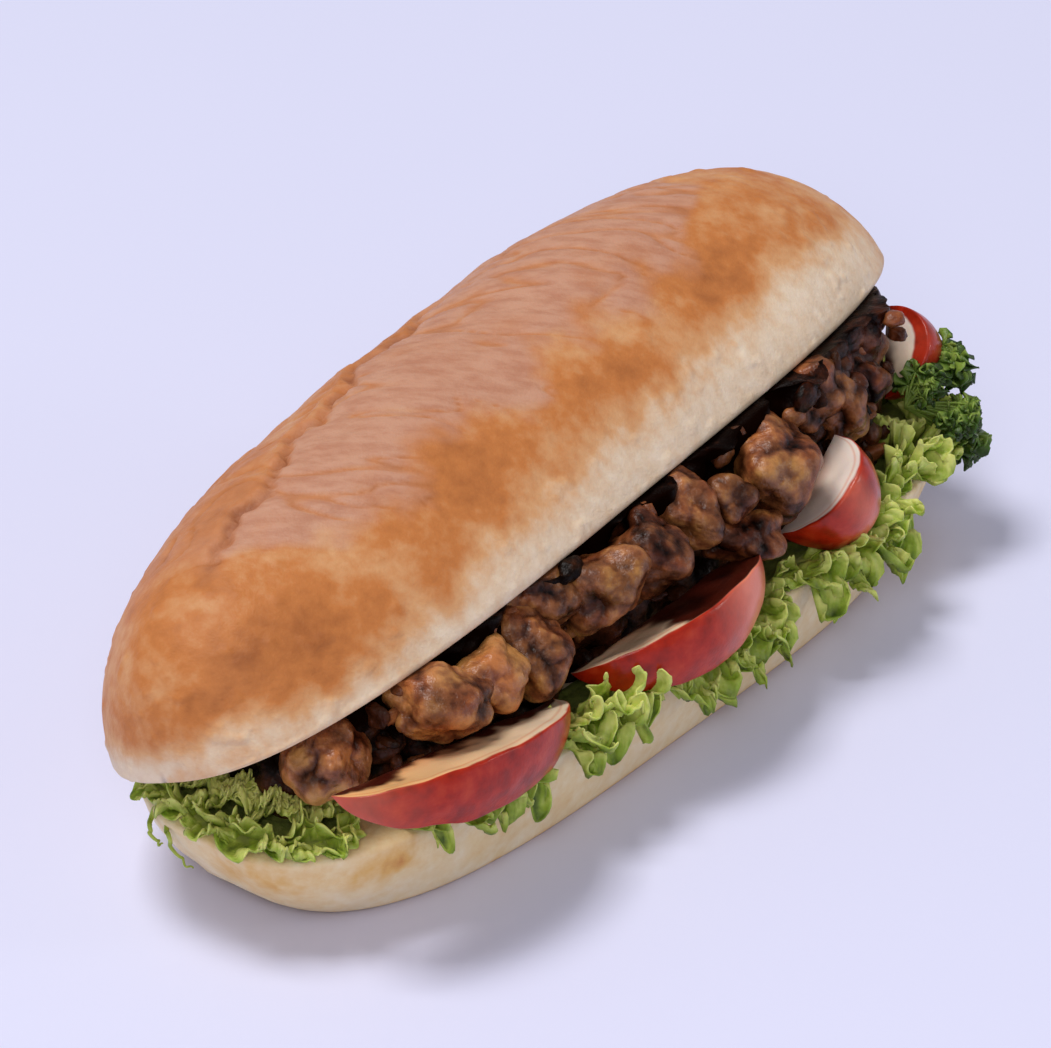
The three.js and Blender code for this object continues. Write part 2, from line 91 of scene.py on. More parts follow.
# The filling's roof starts this high, above its place, and is lowered to the top half.
ABOVE_FILLING = 80.0
FILLING_HALF_LENGTH = 97.0
FILLING_FRONT = 27.0
FILLING_BACK = 37.0
CREASE_LEFT_X = -97.0
CREASE_RIGHT_X = 16.0
CREASE_FADE = 17.0
CREASE_ANGLE = 92.0
CREASE_ANGLE_RISE = 0.28
CREASE_MIDDLE_X = -20.0
# The fine wrinkles run to the photograph's left and right.
WRINKLE_TURN = math.radians(-52.0)

# The camera stands where the photograph was taken from, in the roll's own axes. Its lens is
# in millimetres of a 36 mm wide film.
CAMERA_SPOT = (-735.1, -574.3, 612.9)
CAMERA_AIM = (-0.96, 7.90, 36.6)
CAMERA_LENS = 186.67


def own_origin():
    """Where the roll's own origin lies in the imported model, in millimetres."""
    low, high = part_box("roll_bottom")
    middle_x = (low.x + high.x) / 2 / MM
    return np.array([middle_x, low.y / MM + HALF_WIDTH - ROLL_BEND, 0.0])


ORIGIN = own_origin()


def hex_colour(text):
    """A linear colour from sRGB hex: c/12.92 near black, else ((c+0.055)/1.055)^2.4."""
    parts = [int(text[i:i + 2], 16) / 255 for i in (1, 3, 5)]
    return [c / 12.92 if c <= 0.04045 else ((c + 0.055) / 1.055) ** 2.4 for c in parts]


def smooth(value, low, high):
    """0 below low, 1 above high, and 3t²-2t³ between them."""
    t = np.clip((value - low) / (high - low), 0, 1)
    return t * t * (3 - 2 * t)


def signed_power(value, exponent):
    """value to the power, with the sign of value kept."""
    return np.sign(value) * np.abs(value) ** exponent


def random_at(cell, seed):
    """A random number from 0 to 1 for each whole-number spot, stirred from its bits."""
    key = cell[..., 0] * 374761393 + cell[..., 1] * 668265263 + cell[..., 2] * 1274126177
    key = (key + seed) & 0x7FFFFFFF
    key = ((key ^ (key >> 13)) * 1274126177) & 0x7FFFFFFF
    return ((key ^ (key >> 16)) & 0xFFFF) / 65535


def spots(x, y, z):
    """Points from their coordinates, each spread to the shape of all three together."""
    return np.stack(np.broadcast_arrays(x, y, z), axis=-1)


def noise(points, size, seed, octaves=1):
    """Random waves from about -1 to 1, whose broadest bumps are size millimetres wide.

    Each corner of a grid gets a random value, blended inside its cell by 3t²-2t³ along
    each axis. Every further octave is half as wide and half as high.
    """
    points = np.asarray(points, float)
    total = np.zeros(points.shape[:-1])
    for octave in range(octaves):
        spot = points / (size / 2**octave) + 31.7 * octave
        cell = np.floor(spot).astype(np.int64)
        part = spot - cell
        part = part * part * (3 - 2 * part)
        for corner in product((0, 1), repeat=3):
            value = random_at(cell + np.array(corner), seed * 144269504 + octave * 915488749)
            weight = np.prod(np.where(corner, part, 1 - part), axis=-1)
            total += weight * (value * 2 - 1) / 2**octave
    return total


def lumps(points, size, seed):
    """Rounded bumps packed like crumbs, from 0 in their creases to 1 on their tops.

    It is 1 minus the squared distance to the nearest of the random spots, one of which
    lies in each cell of a size-millimetre grid.
    """
    spot = np.asarray(points, float) / size
    cell = np.floor(spot).astype(np.int64)
    nearest = np.ones(spot.shape[:-1])
    for corner in product((-1, 0, 1), repeat=3):
        c = cell + np.array(corner)
        away = [spot[..., i] - c[..., i] - random_at(c, 7919 * (seed + i)) for i in range(3)]
        nearest = np.minimum(nearest, away[0] ** 2 + away[1] ** 2 + away[2] ** 2)
    return 1 - nearest


def grid_normals(points):
    """Unit normals of a grid of points: the cross product of its two central slopes."""
    normal = np.cross(np.gradient(points, axis=0), np.gradient(points, axis=1))
    return normal / np.maximum(np.linalg.norm(normal, axis=-1, keepdims=True), 1e-9)


def lofted(rings, start, end):
    """Points and faces of closed rings, joined one to the next, with a pole at each end."""
    count, around = rings.shape[:2]
    points = np.vstack([[start], rings.reshape(-1, 3), [end]])
    side = np.arange(around)
    after = (side + 1) % around
    base = 1 + around * np.arange(count - 1)[:, None]
    quads = np.stack(
        [base + side, base + after, base + around + after, base + around + side], axis=-1
    )
    last = len(points) - 1
    first_fan = np.stack([np.zeros_like(side), 1 + after, 1 + side], axis=-1)
    low = last - around
    last_fan = np.stack([np.full_like(side, last), low + side, low + after], axis=-1)
    return points, [quads.reshape(-1, 4), np.vstack([first_fan, last_fan])]


def with_poles(start, values, end):
    """A value for each point that lofted makes: the rings' own, and one for each pole."""
    return np.concatenate([[start], np.ravel(values), [end]])


def sheet(middle, thickness):
    """A thin closed solid: the grid moved half a thickness each way along its normals,
    with a wall round the border."""
    normal = grid_normals(middle) * np.asarray(thickness)[..., None] / 2
    rows, columns = middle.shape[:2]
    points = np.vstack([(middle + normal).reshape(-1, 3), (middle - normal).reshape(-1, 3)])
    at = np.arange(rows * columns).reshape(rows, columns)
    corners = [at[:-1, :-1], at[1:, :-1], at[1:, 1:], at[:-1, 1:]]
    upper = np.stack(corners, axis=-1).reshape(-1, 4)
    lower = upper[:, ::-1] + rows * columns
    border = np.concatenate([at[:-1, 0], at[-1, :-1], at[:0:-1, -1], at[0, :0:-1]])
    after = np.roll(border, -1)
    wall = np.stack([after, border, border + rows * columns, after + rows * columns], axis=-1)
    return points, [np.vstack([upper, lower, wall])]


def joined(parts):
    """Several (points, faces) put together as one."""
    points = np.vstack([part[0] for part in parts])
    faces = []
    start = 0
    for part_points, part_faces in parts:
        faces += [group + start for group in part_faces]
        start += len(part_points)
    return points, faces


def add_piece(name, shape, material, nodes=(), values=None):
    """Makes a mesh object from a shape in the roll's axes, parents it to the root body's
    empty, and hides the imported parts that it stands for.

    The faces are turned round if the volume under them, the sum of a·(b×c)/6, is negative.
    """
    points, groups = shape
    volume = 0.0
    for group in groups:
        a, b, c = (points[group[:, i]] for i in (0, 1, 2))
        volume += np.einsum("ij,ij->i", a, np.cross(b, c)).sum()
        if group.shape[1] == 4:
            d = points[group[:, 3]]
            volume += np.einsum("ij,ij->i", a, np.cross(c, d)).sum()
    faces = []
    for group in groups:
        faces += (group if volume > 0 else group[:, ::-1]).tolist()
    mesh = bpy.data.meshes.new(name)
    mesh.from_pydata(((points + ORIGIN) * MM).tolist(), [], faces)
    for key, array in (values or {}).items():
        attribute = mesh.attributes.new(key, "FLOAT", "POINT")
        attribute.data.foreach_set("value", np.asarray(array, np.float32).ravel())
    mesh.polygons.foreach_set("use_smooth", np.ones(len(mesh.polygons), bool))
    mesh.materials.append(material)
    mesh.update()
    piece = bpy.data.objects.new(name, mesh)
    bpy.context.scene.collection.objects.link(piece)
    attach(piece, "root")
    if nodes:
        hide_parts(*nodes)
    return piece


def add(tree, kind, inputs=None, stops=None, **settings):
    """Adds a node. inputs are values or sockets to link, stops fill a colour ramp."""
    node = tree.nodes.new(kind)
    for name, value in settings.items():
        setattr(node, name, value)
    if stops:
        elements = node.color_ramp.elements
        elements.remove(elements[-1])
        for index, (place, colour) in enumerate(stops):
            element = elements[0] if index == 0 else elements.new(place)
            element.position = place
            element.color = (*colour, 1.0)
    for name, value in (inputs or {}).items():
        socket = node.inputs[name]
        if isinstance(value, bpy.types.NodeSocket):
            tree.links.new(value, socket)
        else:
            socket.default_value = value
    return node


def new_material(name, inputs):
    """A material with its shader, whose own sockets get the values of inputs."""
    material = bpy.data.materials.new(name)
    material.use_nodes = True
    tree = material.node_tree
    tree.nodes.clear()
    shader = add(tree, "ShaderNodeBsdfPrincipled", inputs)
    add(tree, "ShaderNodeOutputMaterial", {"Surface": shader.outputs[0]}, target="ALL")
    return material, tree, shader


def grain(tree, size_mm, detail=2.0, stretch=1.0, roughness=0.55):
    """A noise whose bumps are size_mm wide, and stretch times longer along the wrinkles."""
    place = add(tree, "ShaderNodeTexCoord").outputs["Object"]
    slanted = add(
        tree,
        "ShaderNodeMapping",
        {"Vector": place, "Rotation": (0, 0, WRINKLE_TURN), "Scale": (stretch, 1, 1)},
        vector_type="TEXTURE",
    )
    return add(
        tree,
        "ShaderNodeTexNoise",
        {
            "Vector": slanted.outputs[0],
            "Scale": 1 / (size_mm * MM),
            "Detail": detail,
            "Roughness": roughness,
        },
    ).outputs["Fac"]


def plan_share(along):
    """Half the roll's width at a share of its half length: (1-|along|^p)^(1/p)."""
    exponent = np.where(along < 0, LEFT_END_EXPONENT, RIGHT_END_EXPONENT)
    return np.clip(1 - np.abs(along) ** exponent, 0, 1) ** (1 / exponent)


def bend_at(along):
    """How far the roll bows back in its middle: a parabola along its length."""
    return ROLL_BEND * (1 - along * along)


def place_top(x, y, z):
    """Turns a point of the closed dome up about its back edge, then round by the yaw."""
    lever = y - HALF_WIDTH
    turned_y = lever * math.cos(TOP_OPENING) + z * math.sin(TOP_OPENING) + HALF_WIDTH
    turned_z = z * math.cos(TOP_OPENING) - lever * math.sin(TOP_OPENING)
    return spots(
        x * math.cos(TOP_YAW) - turned_y * math.sin(TOP_YAW),
        x * math.sin(TOP_YAW) + turned_y * math.cos(TOP_YAW) + TOP_SET_BACK,
        turned_z + TOP_BACK_EDGE_Z + TOP_END_RISE * x / ROLL_HALF_LENGTH,
    )


def top_face_z(x, y, gap=GAP):
    """Height of the top half's cut face, less the gap, over a point: its plane solved for z."""
    here = place_top(0.0, HALF_WIDTH, -gap)
    one_x = place_top(1.0, HALF_WIDTH, -gap) - here
    one_y = place_top(0.0, HALF_WIDTH + 1, -gap) - here
    normal = np.cross(one_x, one_y)
    return here[2] - (normal[0] * (x - here[0]) + normal[1] * (y - here[1])) / normal[2]


def press_down(points, gap=GAP):
    """Lowers the points that stand higher than the top half's cut face, less the gap."""
    limit = top_face_z(points[..., 0], points[..., 1], gap)
    points[..., 2] = np.minimum(points[..., 2], limit)


def cut_face_z(y):
    """The height of the bottom half's cut face, which rises slowly to the back."""
    return BOTTOM_HEIGHT + CUT_FACE_SLOPE * (y + HALF_WIDTH - ROLL_BEND)


def crust_crease(x, degrees):
    """The lengthways crack on the upper left: how strong it is, and the arc away from it."""
    middle = CREASE_ANGLE + CREASE_ANGLE_RISE * (x - CREASE_MIDDLE_X)
    middle = middle + 2.2 * np.sin(0.21 * x) + 1.5 * np.sin(0.47 * x) + 0.9 * np.sin(1.3 * x)
    run = smooth(x, CREASE_LEFT_X, CREASE_LEFT_X + CREASE_FADE)
    run = run * (1 - smooth(x, CREASE_RIGHT_X - CREASE_FADE, CREASE_RIGHT_X))
    arc = np.radians(degrees - middle) * TOP_HEIGHT
    return run, arc


# How far baked the crumb of a cut face is, from 0 for the palest crust to 1 for the darkest.
CRUMB_BAKE = 0.03


# The flushed zone's borders: degrees round the dome from the front lip, millimetres along it.
FLUSH_FRONT = 45.0
FLUSH_BACK = (108.0, 140.0)
FLUSH_RIGHT = 52.0
FLUSH_LEFT = (84.0, 95.0)
# The pale band's upper edge at the left end, in degrees from the front lip.
PALE_EDGE = 10.0


def top_zones(x, degrees, spot, rise):
    """Where the crust is flushed and wrinkled, and where it stays pale.

    The flushed zone lies above a wavy line at about 45 degrees round the dome from its
    front lip. It ends sharply on the right and softly at the back. The pale band lies under
    a line that rises from 10 to 28 degrees to the right, and fades at the right end as
    painted shade on the tip.
    """
    scallop = FLUSH_FRONT + 4 * np.sin(0.15 * x + 0.5) + 3 * np.sin(0.31 * x + 2.0)
    scallop = scallop + 26 * smooth(-x, 74, 94) + 6 * noise(spot, 9, 3, 4)
    front = smooth(degrees, scallop - 4, scallop + 9)
    right_end = FLUSH_RIGHT + 24 * smooth(degrees, 50, 72) + 1.5 * noise(spot, 6, 9, 2)
    soft = 7 * smooth(degrees, 85, 125)
    past = right_end - x + soft * noise(spot, 7, 11, 3)
    right = smooth(past, -1.5 - soft, 3.5 + soft)
    back = 1 - smooth(degrees + 9 * noise(spot, 16, 12, 3), *FLUSH_BACK)
    flush = front * right * back * (1 - smooth(-x, *FLUSH_LEFT))
    line = PALE_EDGE + 11 * smooth(x, -75, 5) + 7 * smooth(x, 10, 75)
    line = line + 12 * smooth(-x, 98, 110)
    line = line + 4 * noise(spot * [1, 1, 0.2], 5, 5, 3) + 3 * noise(spot, 15, 6)
    pale = 1 - smooth(degrees, line - 10, line + 14)
    # painted shade: the pale band darkens towards the right tip
    pale = pale * (1 - 0.65 * smooth(x, 88, 111))
    # round the left end the pale rim is as high as it is wide
    rim = 1 - smooth(rise + 1.5 * noise(spot, 9, 7, 2), 1.5, 10)
    pale = np.maximum(pale, rim * smooth(-x, 84, 104))
    return flush, pale


def wrinkle_pattern(spot):
    """Wrinkles as folds about a level and as lines that are 1 along their middles. They run
    to the photograph's left and right, which is slantwise over the crust."""
    c, s = math.cos(WRINKLE_TURN), math.sin(WRINKLE_TURN)
    slant = spot @ np.array([[c, -s, 0], [s, c, 0], [0, 0, 1.0]])
    bent = slant * [0.16, 1, 1] + 1.2 * noise(spot, 9, 13)[..., None]
    return noise(bent, 4.5, 19, 3), 1 - np.abs(noise(bent, 5.5, 31, 2))


def top_colours(x, degrees, spot, flush, pale, behind, crack, dimple, line):
    """How brown each point of the dome is baked, and how flushed.

    Blotches of 15 and 6.5 mm vary a middle brown. It is darker in a stripe along the front,
    in and behind the crease, in wrinkles and towards the left end, lighter at the right end
    and at the back, and cream in the pale band.
    """
    blotch = 0.6 * noise(spot, 15, 43, 2) + 0.5 * noise(spot, 6.5, 45, 4)
    flush = flush * (1 - 0.75 * behind) * (1 - 0.8 * crack)
    in_wrinkle = smooth(line, 0.88, 1.0)
    stripe = np.exp(-(((degrees - 34 + 6 * np.sin(0.07 * x)) / 13) ** 2))
    brown = 0.55 + 0.10 * blotch + 0.07 * dimple + 0.07 * noise(spot, 6, 44, 3)
    brown += 0.10 * stripe * (1 - smooth(x, 80, 104)) * (1 + 0.8 * np.sin(0.13 * x + 1.0))
    brown -= 0.08 * smooth(x, 80, 108) + 0.06 * smooth(degrees, 120, 160)
    brown += 0.08 * behind + 0.45 * crack + 0.06 * smooth(-x, 70, 92)
    brown += 0.16 * flush * in_wrinkle
    streak = noise(spot * [1, 0.3, 0.15], 1.6, 47, 2)
    rim_cream = smooth(-x, 88, 108) * (1 - smooth(degrees, 14, 40))
    brown = brown * (1 - pale) + pale * (0.13 + 0.05 * streak + 0.12 * rim_cream)
    flushed = 0.88 * flush * (1 - pale) * (1 - 0.7 * in_wrinkle)
    return brown, flushed * (1 - 0.2 * smooth(blotch, 0.1, 0.8))


def roll_top_shape(settings):
    """The top half: a superellipse dome over a bowed superellipse plan, with a flat cut face.

    Section: y = -b·share·cos(a)^(2/n), z = h·share^fall·sin(a)^(2/n), the lip inset by
    r - sqrt(r² - (r-z)²). The crust then moves out by blisters, wrinkles and the crease.
    Its values say how brown each point is baked, and how flushed.
    """
    stations, dome, flat = 400, 170, 40
    t = np.arange(1, stations) / stations
    along = np.sin((t - 0.5) * math.pi)[:, None]
    x = along * ROLL_HALF_LENGTH
    share = plan_share(along)
    step = np.linspace(0, 1, dome + 1)[None, :]
    # the steps crowd together at both lips, where the section turns fastest
    crowding = 0.55
    angle = math.pi * (step - crowding * np.sin(2 * math.pi * step) / (2 * math.pi))
    power = 2 / TOP_SECTION_EXPONENT
    half = HALF_WIDTH * share
    fall = np.where(along < 0, TOP_LEFT_FALL, TOP_RIGHT_FALL)
    height = TOP_HEIGHT * share**fall
    broad = np.sin(0.071 * x + 3 * angle) + np.sin(0.113 * x - 2 * angle + 1.3)
    out = 1 + 0.175 * broad * np.sin(angle) * share / TOP_HEIGHT
    y = -half * signed_power(np.cos(angle), power) * out
    z = height * np.sin(angle).clip(0) ** power * out
    lip = 1.8 * share + 0.05
    inset = lip - np.sqrt(np.clip(lip**2 - np.clip(lip - z, 0, None) ** 2, 0, None))
    y = y + np.where(z < lip, inset, 0) * np.sign(np.cos(angle))
    wide = np.broadcast_to(x, y.shape)
    spot = place_top(wide, y + bend_at(along), z)
    degrees = np.degrees(angle) + 0 * x
    flush, pale = top_zones(wide, degrees, spot, z)
    run, arc = crust_crease(wide, degrees)
    arc = arc + 1.3 * noise(spot, 5, 35, 3)
    crack = run * np.exp(-((arc / 1.3) ** 2)) * (0.8 + 0.5 * noise(spot, 6, 36, 2))
    shoulder = run * np.exp(-(((arc - 3.2) / 2.6) ** 2))
    behind = run * smooth(arc, -1, 3)

    # the relief: how far each point moves out along its normal
    fold, line = wrinkle_pattern(spot)
    dimple = noise(spot, 5.5, 17, 3)
    blister = smooth(noise(spot, 3.2, 23, 2), 0.35, 1.0)
    dent = noise(spot, 24, 29, 2)
    edge = smooth(np.radians(degrees) * TOP_HEIGHT, 0, 4) * smooth(share, 0.05, 0.3)
    push = 0.55 * dent + 0.14 * dimple + settings.blister_height / MM * blister * (1 - flush)
    push += settings.wrinkle_depth / MM * flush * (fold - 1.6 * smooth(line, 0.8, 1.0))
    push += -1.5 * crack + 0.5 * shoulder
    # a short fold where the flushed zone ends on the right
    fold_edge = smooth(wide, 73, 75) * (1 - smooth(wide, 75, 78)) * smooth(degrees, 60, 75)
    push += -0.4 * fold_edge * (1 - smooth(degrees, 90, 110))
    normal = grid_normals(spot)
    upwards = np.sign(normal[stations // 2, dome // 2, 2])
    crust = spot + normal * (upwards * push * edge)[..., None]

    # the cut face, from the back lip to the front lip, with its crumb
    across = np.linspace(1, -1, flat + 2)[None, 1:-1]
    face_y = (half - lip) * across + bend_at(along)
    face = place_top(np.broadcast_to(x, face_y.shape), face_y, 0 * face_y)
    inside = smooth((1 - np.abs(across)) * half, 0, 3)
    face[..., 2] += inside * (0.5 + 0.5 * noise(face, 3.5, 41, 3))
    rings = np.concatenate([crust, face], axis=1)
    left, right = (place_top(end * ROLL_HALF_LENGTH, 0.0, 0.0) for end in (-1, 1))
    shape = lofted(rings, left, right)

    colours = top_colours(wide, degrees, spot, flush, pale, behind, crack, dimple, line)
    values = {}
    for name, grid, on_face in zip(("bake", "flush"), colours, (CRUMB_BAKE, 0.0)):
        grid = np.concatenate([grid, np.full(face_y.shape, on_face)], axis=1)
        values[name] = with_poles(grid[0].mean(), grid, grid[-1].mean())
    return shape, values


def bottom_outline(angle, width_share, length_share):
    """The bottom half's outline: the bowed superellipse plan, from the left end by the front."""
    exponent = np.where(np.cos(angle) > 0, LEFT_END_EXPONENT, RIGHT_END_EXPONENT)
    along = -signed_power(np.cos(angle), 2 / exponent)
    side = signed_power(np.sin(angle), 2 / exponent)
    half_width = np.where(side > 0, HALF_WIDTH, BOTTOM_BACK_HALF_WIDTH)
    x = along * length_share * BOTTOM_HALF_LENGTH
    return x, -side * width_share * half_width + bend_at(along)


# Golden patches of the heel: where, how wide and how strong.
HEEL_PATCHES = [
    ((-101, -8, 16), 13, 0.22),
    ((-87, -24, 16), 6, 0.55),
    ((-60, -34, 10), 9, 0.10),
    ((20, -36, 12), 10, 0.10),
    ((90, -25, 10), 12, 0.16),
]


def roll_bottom_shape():
    """The bottom half: its outline swells as (1-(1-rise)^s)^(1/s) from the base to the cut
    face. Behind, it is pressed down under the top half's cut face. It is cream, with a
    golden foot and the golden patches."""
    around = 560
    angle = 2 * math.pi * (np.arange(around) + 0.5)[None, :] / around
    rise = np.linspace(0, 1, 44)[:, None] ** 1.15
    bulge = (1 - (1 - rise) ** SIDE_EXPONENT) ** (1 / SIDE_EXPONENT)
    width_share = BASE_WIDTH_SHARE + (1 - BASE_WIDTH_SHARE) * bulge
    length_share = BASE_LENGTH_SHARE + (1 - BASE_LENGTH_SHARE) * bulge
    x, y = bottom_outline(angle, width_share, length_share)
    z = rise * cut_face_z(y)
    lip = np.clip(1 - (1 - rise) * BOTTOM_HEIGHT / 1.6, 0, 1)
    tuck = 1 - 0.03 * (1 - np.sqrt(np.clip(1 - lip**2, 0, 1)))
    wall = spots(x * tuck, y * tuck, z)
    # the base turns under with a small radius
    foot = np.clip(1 - z / 2.0, 0, 1)[..., None]
    wall[..., :2] *= 1 - 0.03 * (1 - np.sqrt(1 - foot**2))
    uneven = 0.35 * noise(wall, 14, 53, 3) * smooth(z, 0, 4) * (1 - smooth(lip, 0, 1))
    wall[..., :2] *= 1 + (uneven / HALF_WIDTH)[..., None]
    inward = np.linspace(1, 0, 26)[1:-1, None, None]
    rim = wall[-1][None]
    centre = np.array([0.0, ROLL_BEND, 0.0])
    face = centre + (rim - centre) * inward
    face[..., 2] = cut_face_z(face[..., 1])
    face[..., 2] += 0.5 * noise(face, 3.5, 59, 3) * smooth(1 - inward[..., 0], 0.02, 0.1)
    under = centre + (wall[:1] - centre) * np.linspace(0, 1, 9)[1:-1, None, None]
    under[..., 2] = 0
    rings = np.concatenate([under, wall, face])
    press_down(rings)
    top = np.array([0, ROLL_BEND, min(cut_face_z(ROLL_BEND), top_face_z(0, ROLL_BEND))])
    shape = lofted(rings, centre, top)
    body = rings.reshape(-1, 3)
    streak = noise(body * [1, 1, 0.25], 3.0, 61, 3)
    brown = 0.12 + 0.04 * streak + 0.05 * noise(body, 22, 67, 2)
    brown += 0.25 * (1 - smooth(body[:, 2], 0.2, 2.6))
    for spot, size, strength in HEEL_PATCHES:
        away = np.linalg.norm((body - np.array(spot)) * [1, 1, 1.6], axis=1)
        brown += strength * np.exp(-((away / size) ** 2)) * (1 + 0.4 * streak)
    bake = with_poles(0.4, brown, CRUMB_BAKE)
    return shape, {"bake": bake, "flush": np.zeros(len(bake))}


def crust_material(settings, name, crumb_size, palest, pale, golden):
    """A soft roll, brushed and baked: a thin satin skin over bread. That gives the eye a
    low soft shine, colour from cream through golden to brown, and a fine leathery grain."""
    material, tree, shader = new_material(name, {
        "Roughness": 0.5,
        "IOR": 1.45,
        "Specular IOR Level": 0.25,
        "Subsurface Weight": 0.06,
        "Subsurface Radius": (0.004, 0.002, 0.001),
        "Subsurface Scale": 0.6,
    })
    bake, flush = (
        add(tree, "ShaderNodeAttribute", attribute_name=key).outputs["Fac"]
        for key in ("bake", "flush")
    )
    mottle = grain(tree, 2.8, 5.0)
    wrinkles = grain(tree, 2.6, 6.0, 2.6, 0.62)
    fine = grain(tree, crumb_size, 3.0)
    part = add(tree, "ShaderNodeMath", {0: mottle, 1: 0.36, 2: -0.18}, operation="MULTIPLY_ADD")
    level = add(tree, "ShaderNodeMath", {0: bake, 1: part.outputs[0]}, operation="ADD")
    stops = [
        (0.0, palest),
        (0.17, pale),
        (0.40, golden),
        (0.64, settings.brown_colour),
        (1.0, settings.dark_colour),
    ]
    baked = add(tree, "ShaderNodeValToRGB", {"Fac": level.outputs[0]}, stops=stops)
    flush_stops = [(0.36, settings.flush_dark_colour), (0.58, settings.flush_colour)]
    flushed = add(tree, "ShaderNodeValToRGB", {"Fac": wrinkles}, stops=flush_stops)
    colour = add(
        tree,
        "ShaderNodeMix",
        {FACTOR: flush, FIRST: baked.outputs[0], SECOND: flushed.outputs[0]},
        data_type="RGBA",
    )
    tree.links.new(colour.outputs[MIXED], shader.inputs["Base Color"])
    creased = add(tree, "ShaderNodeMath", {0: wrinkles, 1: flush}, operation="MULTIPLY")
    bump = add(tree, "ShaderNodeBump", {"Strength": 0.4, "Distance": 0.0004, "Height": fine})
    waves = add(tree, "ShaderNodeBump", {
        "Strength": 0.35,
        "Distance": 0.0008,
        "Height": creased.outputs[0],
        "Normal": bump.outputs[0],
    })
    tree.links.new(waves.outputs[0], shader.inputs["Normal"])
    return material


# The wedges from left to right: the middle of the core line, its turns about the vertical
# and upwards, the angle of the upper cut face, counted downwards from the level at the
# front, the angle between both faces, half the length, and the radius. Angles in degrees.
WEDGES = [
    {"middle": (-71, -28, 34.5), "yaw": -4, "pitch": -7, "facing": -20, "open": 47,
     "half": 31, "radius": 16.5},
    {"middle": (-4.5, -28.5, 32.3), "yaw": -4, "pitch": 5, "facing": -28, "open": 50,
     "half": 26, "radius": 17},
    {"middle": (47.5, -27, 36), "yaw": 5, "pitch": 32, "facing": -31, "open": 67,
     "half": 12.5, "radius": 15.8},
    {"middle": (97, -11.3, 39.5), "yaw": 37, "pitch": 44, "facing": -44, "open": 90,
     "half": 10.2, "radius": 12.3},
]
# Where the dark of pan juice and painted shade under the liver starts on each wedge's cut
#  face, as a share of the way from its skin.
JUICE_AND_SHADE_START = [(0.6, 0.8), (0.75, 0.9), (1.3, 1.5), (0.6, 0.9)]
# The wedge whose right part is painted dark with juice and with shade under the liver.
RIGHT_SHADED_WEDGE = 1
# How many millimetres the red of the skin reaches into each wedge's flesh.
RED_DEPTH = [0.2, 0.2, 0.4, 3.6]
# The painted sheen of each wedge's skin, a lighter pink that stands in for its broad
#  highlights: its middle along the wedge, its width, its strength.
PAINTED_SKIN_SHEEN = [(-0.95, 0.25, 0.35), (0.5, 0.32, 0.95), (-0.1, 0.3, 0.45), (0.0, 0.5, 0.1)]


def turned(points, pitch, yaw):
    """Tips points up along X by pitch, then turns them about Z by yaw, in degrees."""
    p, w = math.radians(pitch), math.radians(yaw)
    tip = np.array([[math.cos(p), 0, math.sin(p)], [0, 1, 0], [-math.sin(p), 0, math.cos(p)]])
    swing = np.array([[math.cos(w), math.sin(w), 0], [-math.sin(w), math.cos(w), 0], [0, 0, 1]])
    return points @ tip @ swing


# The two ends of a ball's axis.
POLES = np.array([[-1.0, 0, 0], [1.0, 0, 0]])


def wedge_section(facing, opening):
    """A sector of radius 1, out from the core, round the skin and back in: each point's
    reach from the core, its angle, and its place, whose corners are rounded."""
    face_steps, arc_steps = 40, 56
    out = np.linspace(0, 1, face_steps, endpoint=False)
    back = np.linspace(1, 0, face_steps, endpoint=False)
    reach = np.concatenate([out, np.ones(arc_steps), back])
    arc = np.linspace(facing, facing + opening, arc_steps)
    starts, ends = np.full(face_steps, facing), np.full(face_steps, facing + opening)
    angle = np.concatenate([starts, arc, ends])
    section = np.stack([-reach * np.cos(angle), -reach * np.sin(angle)], axis=-1)
    for _ in range(3):
        section = (np.roll(section, 1, 0) + section + np.roll(section, -1, 0)) / 3
    return reach, angle, section


